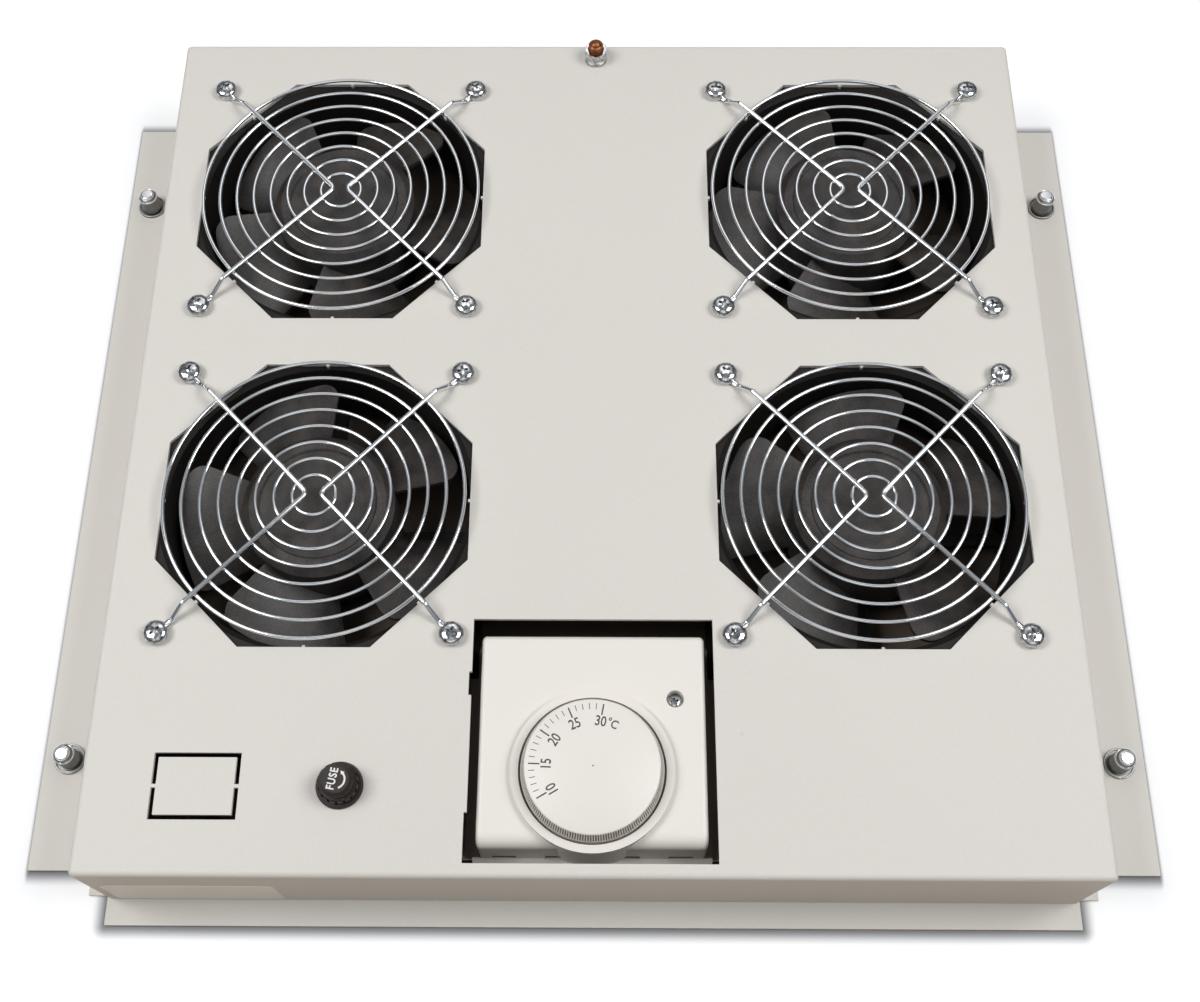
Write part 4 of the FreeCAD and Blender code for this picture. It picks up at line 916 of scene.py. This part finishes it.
class TRAY_OT_dial(PieceOperator, bpy.types.Operator):
    """Make the knurled dial and its printed scale"""

    bl_idname = "tray.dial"
    bl_label = "Thermostat dial"

    def execute(self, context):
        dial = context.scene.tray_dial
        low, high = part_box("thermostat_dial")
        centre = middle("thermostat_dial")
        outer, top, steps = (high.x - low.x) / 2, high.z, 160
        upper = outer - 1.9 * MM
        rim = outer - 0.4 * MM
        band = ((outer - 0.35 * MM, low.z + 2.9 * MM), (upper + 0.2 * MM, top - 0.5 * MM))
        floor = [(radius - dial.tooth, level) for radius, level in band]
        outline = [
            (3.05 * MM, low.z), (rim - 0.2 * MM, low.z), (rim, low.z + 0.3 * MM), (rim, low.z + 2.6 * MM),
            (rim - 0.1 * MM, low.z + 2.85 * MM), *floor, (upper + 0.12 * MM, top - 0.47 * MM),
            (upper, top - 0.2 * MM), (upper - 0.4 * MM, top), (CORE * MM, top)]
        move = upright(centre, 0)
        shell = Shell()
        shell.add(*revolve(outline, steps), move)
        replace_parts(shell.piece("dial_knurled", "stat_white", "dial", crease=50), "thermostat_dial")
        ribs = Shell()
        pitch = math.tau / dial.teeth
        for rib in range(dial.teeth):
            points = []
            for radius, level in band:
                for share, depth in ((-0.28, 1.2), (0.28, 1.2), (0.2, 0), (-0.2, 0)):
                    points.append(polar(radius - depth * dial.tooth, (rib + share) * pitch, level))
            ribs.add(points, BLOCK_FACES, move)
        ribs.piece("dial_ribs", "stat_white", "dial")
        # Painted shade: a dark skin on the floor of the knurl's grooves, standing in for the shade between
        # the ribs.
        groove = Shell()
        skin = [*floor, *((radius + 0.06 * MM, level) for radius, level in reversed(floor))]
        groove.add(*ring(skin, steps), move)
        groove.piece("dial_groove_painted_shade", "stat_shade", "dial", "stat_white")
        self.print_scale(dial, centre, top, upper)
        # Painted shade: a dark ring laid at the foot of the dial, where the narrow gap round the dial is
        # in shade.
        gap = Shell()
        gap.add(*washer(rim, outer + 0.35 * MM, 0.1 * MM, 96), upright(centre, low.z))
        gap.piece("dial_gap_painted_shade", "stat_shade", "tray", "stat_white")
        return {"FINISHED"}

    def print_scale(self, dial, centre, top, radius):
        """A tick for each degree from 10 to 30, long and with a figure at every fifth, and the unit."""
        shell = Shell()
        bold, margin, dot = 0.07 * MM, 1.4 * MM, 0.5 * MM

        def inside(angle, inset, turn):
            spot = centre + Vector((math.cos(angle), math.sin(angle), 0)) * (radius - inset)
            return upright(spot, top, turn)

        for tick in range(21):
            angle = dial.first - dial.step * tick / 5
            major = tick % 5 == 0
            long, wide = (3.9 * MM, 0.5 * MM) if major else (2.1 * MM, 0.24 * MM)
            shell.add(*bar(long, wide, INK), inside(angle, margin + long, angle))
            if major:
                move = inside(angle, 7.6 * MM, angle - math.pi / 2)
                shell.add_mesh(*lettering(str(10 + tick), dial.figure, move, bold, narrow=0.8))
        angle -= math.radians(15)
        move = inside(angle, 7.2 * MM, angle - math.pi / 2)
        shell.add_mesh(*lettering("°C", dial.figure * 0.84, move, bold, 1.05, 0.85))
        shell.add(*bar(dot, dot, INK), upright(centre, top))
        shell.piece("dial_scale", "dial_ink", "dial", "stat_white")


class TRAY_OT_cover_screw(PieceOperator, bpy.types.Operator):
    """Make the recessed screw of the thermostat cover"""

    bl_idname = "tray.cover_screw"
    bl_label = "Cover screw"

    def execute(self, context):
        low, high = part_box("thermostat_cover_screw")
        centre = middle("thermostat_cover_screw")
        radius = (high.x - low.x) / 2
        head = [
            (CORE * MM, -2.2 * MM), (radius, -2.2 * MM), (radius, -0.9 * MM),
            (radius - 0.25 * MM, -0.45 * MM), (radius - 0.9 * MM, -0.1 * MM), (CORE * MM, 0)]
        mesh = carved(*revolve(head, 40), cross_recess(1.6 * MM, 0.8 * MM, 1.2 * MM, 0))
        shell = Shell()
        move = upright(centre, high.z, math.radians(20))
        shell.add_mesh(mesh, move)
        shell.add(*threaded(1.5 * MM, 0.3 * MM, 0.8 * MM, low.z - high.z, -2.1 * MM, 24, 6), move)
        piece = shell.piece("cover_screw_recessed", "screw_plate", "tray", "zinc_steel")
        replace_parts(piece, "thermostat_cover_screw")
        return {"FINISHED"}


class TRAY_OT_fuse_mark(PieceOperator, bpy.types.Operator):
    """Print the word FUSE and its turning arrow on the cap"""

    bl_idname = "tray.fuse_mark"
    bl_label = "Fuse cap mark"

    def execute(self, context):
        centre = middle("fuse_cap")
        shell = Shell()
        turn = math.radians(80)
        up = Vector((-math.sin(turn), math.cos(turn), 0))
        word = upright(centre + up * MM, CAP_TOP, turn)
        shell.add_mesh(*lettering("FUSE", 2.65 * MM, word, 0.1 * MM, 1.15, 0.84))
        radius, width, steps = 3.1 * MM, 0.32 * MM, 18
        first, last = turn - math.radians(150), turn - math.radians(40)
        arc = []
        for step in range(steps + 1):
            arc.append(Vector(polar(radius, first + (last - first) * step / steps, 0)))
        move = upright(centre, CAP_TOP)
        shell.add(*tube(arc, [width] * len(arc), [INK / 2] * len(arc), 8), move)
        tip = Vector((-math.sin(last), math.cos(last), 0))
        side = Vector((math.cos(last), math.sin(last), 0))
        corners = [arc[-1] - side * 0.75 * MM, arc[-1] + side * 0.75 * MM, arc[-1] + tip * 1.3 * MM]
        points = [c + Vector((0, 0, z)) for z in (-INK / 2, INK / 2) for c in corners]
        faces = [(2, 1, 0), (3, 4, 5), (0, 1, 4, 3), (1, 2, 5, 4), (2, 0, 3, 5)]
        shell.add(points, faces, move)
        shell.piece("fuse_cap_mark", "white_ink", "cap", "fuse_black")
        return {"FINISHED"}


class TRAY_OT_panel_marks(PieceOperator, bpy.types.Operator):
    """Make the panel's small marks: the nubs of the cut openings, a pip and the bare label"""

    bl_idname = "tray.panel_marks"
    bl_label = "Panel marks"

    def execute(self, context):
        flats = 114 * MM
        nubs = Shell()
        nub = bar(0.9 * MM, 1.1 * MM, SHEET * 0.9)
        inset = Matrix.Translation((flats / 2 - 0.8 * MM, 0, 0))
        for corner in CORNERS:
            centre = middle("fan_frame_" + corner)
            for number in range(8):
                nubs.add(*nub, upright(centre, PANEL_TOP - SHEET / 2, math.tau * number / 8) @ inset)
        pip = outline_mm(0, (0.7, -0.1), (0.7, 0.05), (0.45, 0.22), (CORE, 0.26))
        nubs.add(*revolve(pip, 20), Matrix.Translation((51.5 * MM, -125.5 * MM, PANEL_TOP)))
        nubs.piece("opening_nubs", "panel_coat", "tray")
        label = Shell()
        skin = 0.12 * MM
        outline = rounded_rectangle(60 * MM, 26 * MM, 3 * MM)
        points = [(x, y, z) for y in (-PANEL_HALF - skin, -PANEL_HALF) for x, z in outline]
        count = len(outline)
        faces = [tuple(range(count)), tuple(reversed(range(count, 2 * count)))]
        faces += [(i, count + i, count + (i + 1) % count, (i + 1) % count) for i in range(count)]
        label.add(points, faces, Matrix.Translation((-140 * MM, 0, 17 * MM)))
        label.piece("blank_label", "label_film", "tray", "panel_coat")
        return {"FINISHED"}


def rounded_rectangle(width, height, radius, steps=6):
    """A rectangle with round corners, centred on the origin, counter-clockwise."""
    outline = []
    for quarter, (sx, sy) in enumerate(((1, 1), (-1, 1), (-1, -1), (1, -1))):
        for step in range(steps + 1):
            angle = math.pi / 2 * (quarter + step / steps)
            outline.append((sx * (width / 2 - radius) + radius * math.cos(angle),
                            sy * (height / 2 - radius) + radius * math.sin(angle)))
    return outline


# Stage


def backdrop_world():
    """White to the camera; to metal a bright band overhead between dim sides; faint as a light."""
    world = bpy.data.worlds.new("studio")
    world.use_nodes = True
    bpy.context.scene.world = world
    paint = Paint("", world.node_tree)
    across, _, height = paint.parts(paint.add("ShaderNodeTexCoord", output="Generated"))
    overhead = paint.ramp(
        height.larger(0.0), (0.05, 0.1), (0.5, 0.12), (0.6, 1.0), (0.84, 1.0), (0.93, 0.16))
    between = paint.ramp(
        abs(across), (0.18, 1.0), (0.4, 0.34), (0.52, 0.06), (0.7, 0.06), (0.84, 0.4))
    bright = overhead * between
    faint = 0.18
    camera, glossy, through = light_paths(paint)
    background = world.node_tree.nodes["Background"]
    dim = glossy - glossy * bright
    paint.join(paint.mix(dim, (1, 1, 1, 1), (0.88, 0.94, 1, 1)), background.inputs["Color"])
    light = (camera + through + glossy * bright + faint).smaller(1.0)
    paint.join(light, background.inputs["Strength"])


def floor_paper(stage):
    """Pale paper with a painted shadow along the flanges and painted shade beneath the tray, that also
    glows where it is looked at, but not close by the tray; clear from below.
    """
    paint = Paint("floor_paper")
    x, y, _ = paint.parts(paint.spot())
    across, along = abs(x), abs(y)
    flange_end, far_squared = 165 * MM, 0.2
    side_flanges = outside((across - CAD_BOX[1].x) * 3, along - flange_end)
    end_flanges = outside(across - PANEL_HALF, along - CAD_BOX[1].y)
    near = (side_flanges.smaller(end_flanges) * (1 / stage.edge)).smaller(1.0)
    beside = near * near * (near * -2 + 3)
    camera, glossy, through = light_paths(paint)
    seen = (camera + glossy + through).smaller(1.0)
    # Painted shadow: the floor's colour turns to the shadow colour along the flanges, and is painted dark
    # brown shade under the tray.
    open_floor = paint.mix(beside, stage.shadow, stage.floor)
    looks = paint.mix((near * 50).smaller(1.0), stage.under, open_floor)
    base = paint.mix(seen, stage.bounce, looks)
    paint.shade(Base_Color=base, Roughness=1.0, Specular_IOR_Level=0.0)
    shader = paint.tree.nodes["Principled BSDF"]
    far = ((x * x + y * y - far_squared) * 2.0).from_0_to_1()
    tint = paint.mix(far, stage.glow, (1, 1, 1, 1))
    glow = paint.add("ShaderNodeEmission", {}, {"Color": tint, "Strength": seen * beside})
    total = paint.add("ShaderNodeAddShader", {}, {0: Value(paint, shader.outputs[0]), 1: glow})
    below = paint.add("ShaderNodeNewGeometry", output="Backfacing") * camera
    clear = paint.add("ShaderNodeBsdfTransparent")
    surface = paint.add("ShaderNodeMixShader", {}, {0: below, 1: total, 2: clear})
    paint.join(surface, paint.tree.nodes["Material Output"].inputs["Surface"])
    return paint.material


def outside(across, along):
    """The distance from a rectangle, from how far a point lies past its sides."""
    across, along = across.larger(0.0), along.larger(0.0)
    return across.combine("POWER", across * across + along * along, 0.5)


def light_paths(paint):
    """Three values, each 1 where the camera, a mirror or glass looks, and 0 elsewhere."""
    camera = paint.add("ShaderNodeLightPath", output="Is Camera Ray")
    outputs = camera.socket.node.outputs
    return camera, Value(paint, outputs["Is Glossy Ray"]), Value(paint, outputs["Is Transmission Ray"])


# Name, place, side and power of each lamp.
SOFTBOXES = (
    ("softbox_left", (-0.75, -0.06, 1.1), 0.6, 8.6),
    ("softbox_right", (0.75, -0.06, 1.1), 0.6, 8.4),
    ("softbox_back", (0, 0.8, 1.1), 0.5, 0.6),
    ("softbox_front", (0, -0.4, 1.2), 0.4, 0.3),
)


def lamp(name, spot, side, power):
    """A square soft lamp that points at the middle of the tray's foot."""
    light = bpy.data.lights.new(name, "AREA")
    light.shape = "SQUARE"
    light.size = side
    light.energy = power
    item = bpy.data.objects.new(name, light)
    item.location = spot
    item.rotation_euler = (Vector() - Vector(spot)).to_track_quat("-Z", "Y").to_euler()
    bpy.context.scene.collection.objects.link(item)


def photo_camera():
    """The camera at the photograph's viewing angle."""
    data = bpy.data.cameras.new("photo_camera")
    data.sensor_width = 36
    data.lens = 45.06
    data.shift_x = 0.00925
    data.shift_y = -0.00675
    data.clip_start = 0.01
    item = bpy.data.objects.new("photo_camera", data)
    forward = Vector((-0.0079, 0.4092, -0.9124)).normalized()
    right = Vector((1.0, 0.0059, -0.006))
    right = (right - forward * right.dot(forward)).normalized()
    up = right.cross(forward)
    turn = Matrix((right, up, -forward)).transposed().to_4x4()
    item.matrix_world = Matrix.Translation((0.0026, -0.2621, 0.5550)) @ turn
    bpy.context.scene.collection.objects.link(item)
    bpy.context.scene.camera = item


class TRAY_OT_stage(PieceOperator, bpy.types.Operator):
    """Set up the pale floor, the lamps, the backdrop and the camera"""

    bl_idname = "tray.stage"
    bl_label = "Stage"

    def execute(self, context):
        stage = context.scene.tray_stage
        mesh = bpy.data.meshes.new("floor")
        half = 3
        corners = [(-half, -half, 0), (half, -half, 0), (half, half, 0), (-half, half, 0)]
        mesh.from_pydata(corners, [], [(0, 1, 2, 3)])
        floor = bpy.data.objects.new("floor", mesh)
        context.scene.collection.objects.link(floor)
        mesh.materials.append(floor_paper(stage))
        backdrop_world()
        for name, spot, side, power in SOFTBOXES:
            lamp(name, spot, side, power * stage.lamp)
        photo_camera()
        context.scene.view_settings.view_transform = "Standard"
        return {"FINISHED"}


class TRAY_PT_sidebar(bpy.types.Panel):
    """The steps of the fan tray, in order"""

    bl_idname = "TRAY_PT_sidebar"
    bl_label = "Fan Tray"
    bl_space_type = "VIEW_3D"
    bl_region_type = "UI"
    bl_category = "Fan Tray"

    def draw(self, context):
        for step in STEPS:
            self.layout.operator(step.bl_idname)


STEPS = (
    TRAY_OT_coats,
    TRAY_OT_guards,
    TRAY_OT_guard_screws,
    TRAY_OT_studs,
    TRAY_OT_earth_point,
    TRAY_OT_dial,
    TRAY_OT_cover_screw,
    TRAY_OT_fuse_mark,
    TRAY_OT_panel_marks,
    TRAY_OT_stage,
)


def register():
    for name, group in SETTINGS.items():
        bpy.utils.register_class(group)
        setattr(bpy.types.Scene, name, PointerProperty(type=group))
    for step in STEPS:
        bpy.utils.register_class(step)
    bpy.utils.register_class(TRAY_PT_sidebar)


def unregister():
    bpy.utils.unregister_class(TRAY_PT_sidebar)
    for step in reversed(STEPS):
        bpy.utils.unregister_class(step)
    for name, group in SETTINGS.items():
        delattr(bpy.types.Scene, name)
        bpy.utils.unregister_class(group)


def main():
    register()
    for step in STEPS:
        family, name = step.bl_idname.split(".")
        getattr(getattr(bpy.ops, family), name)()


if __name__ == "__main__":
    main()
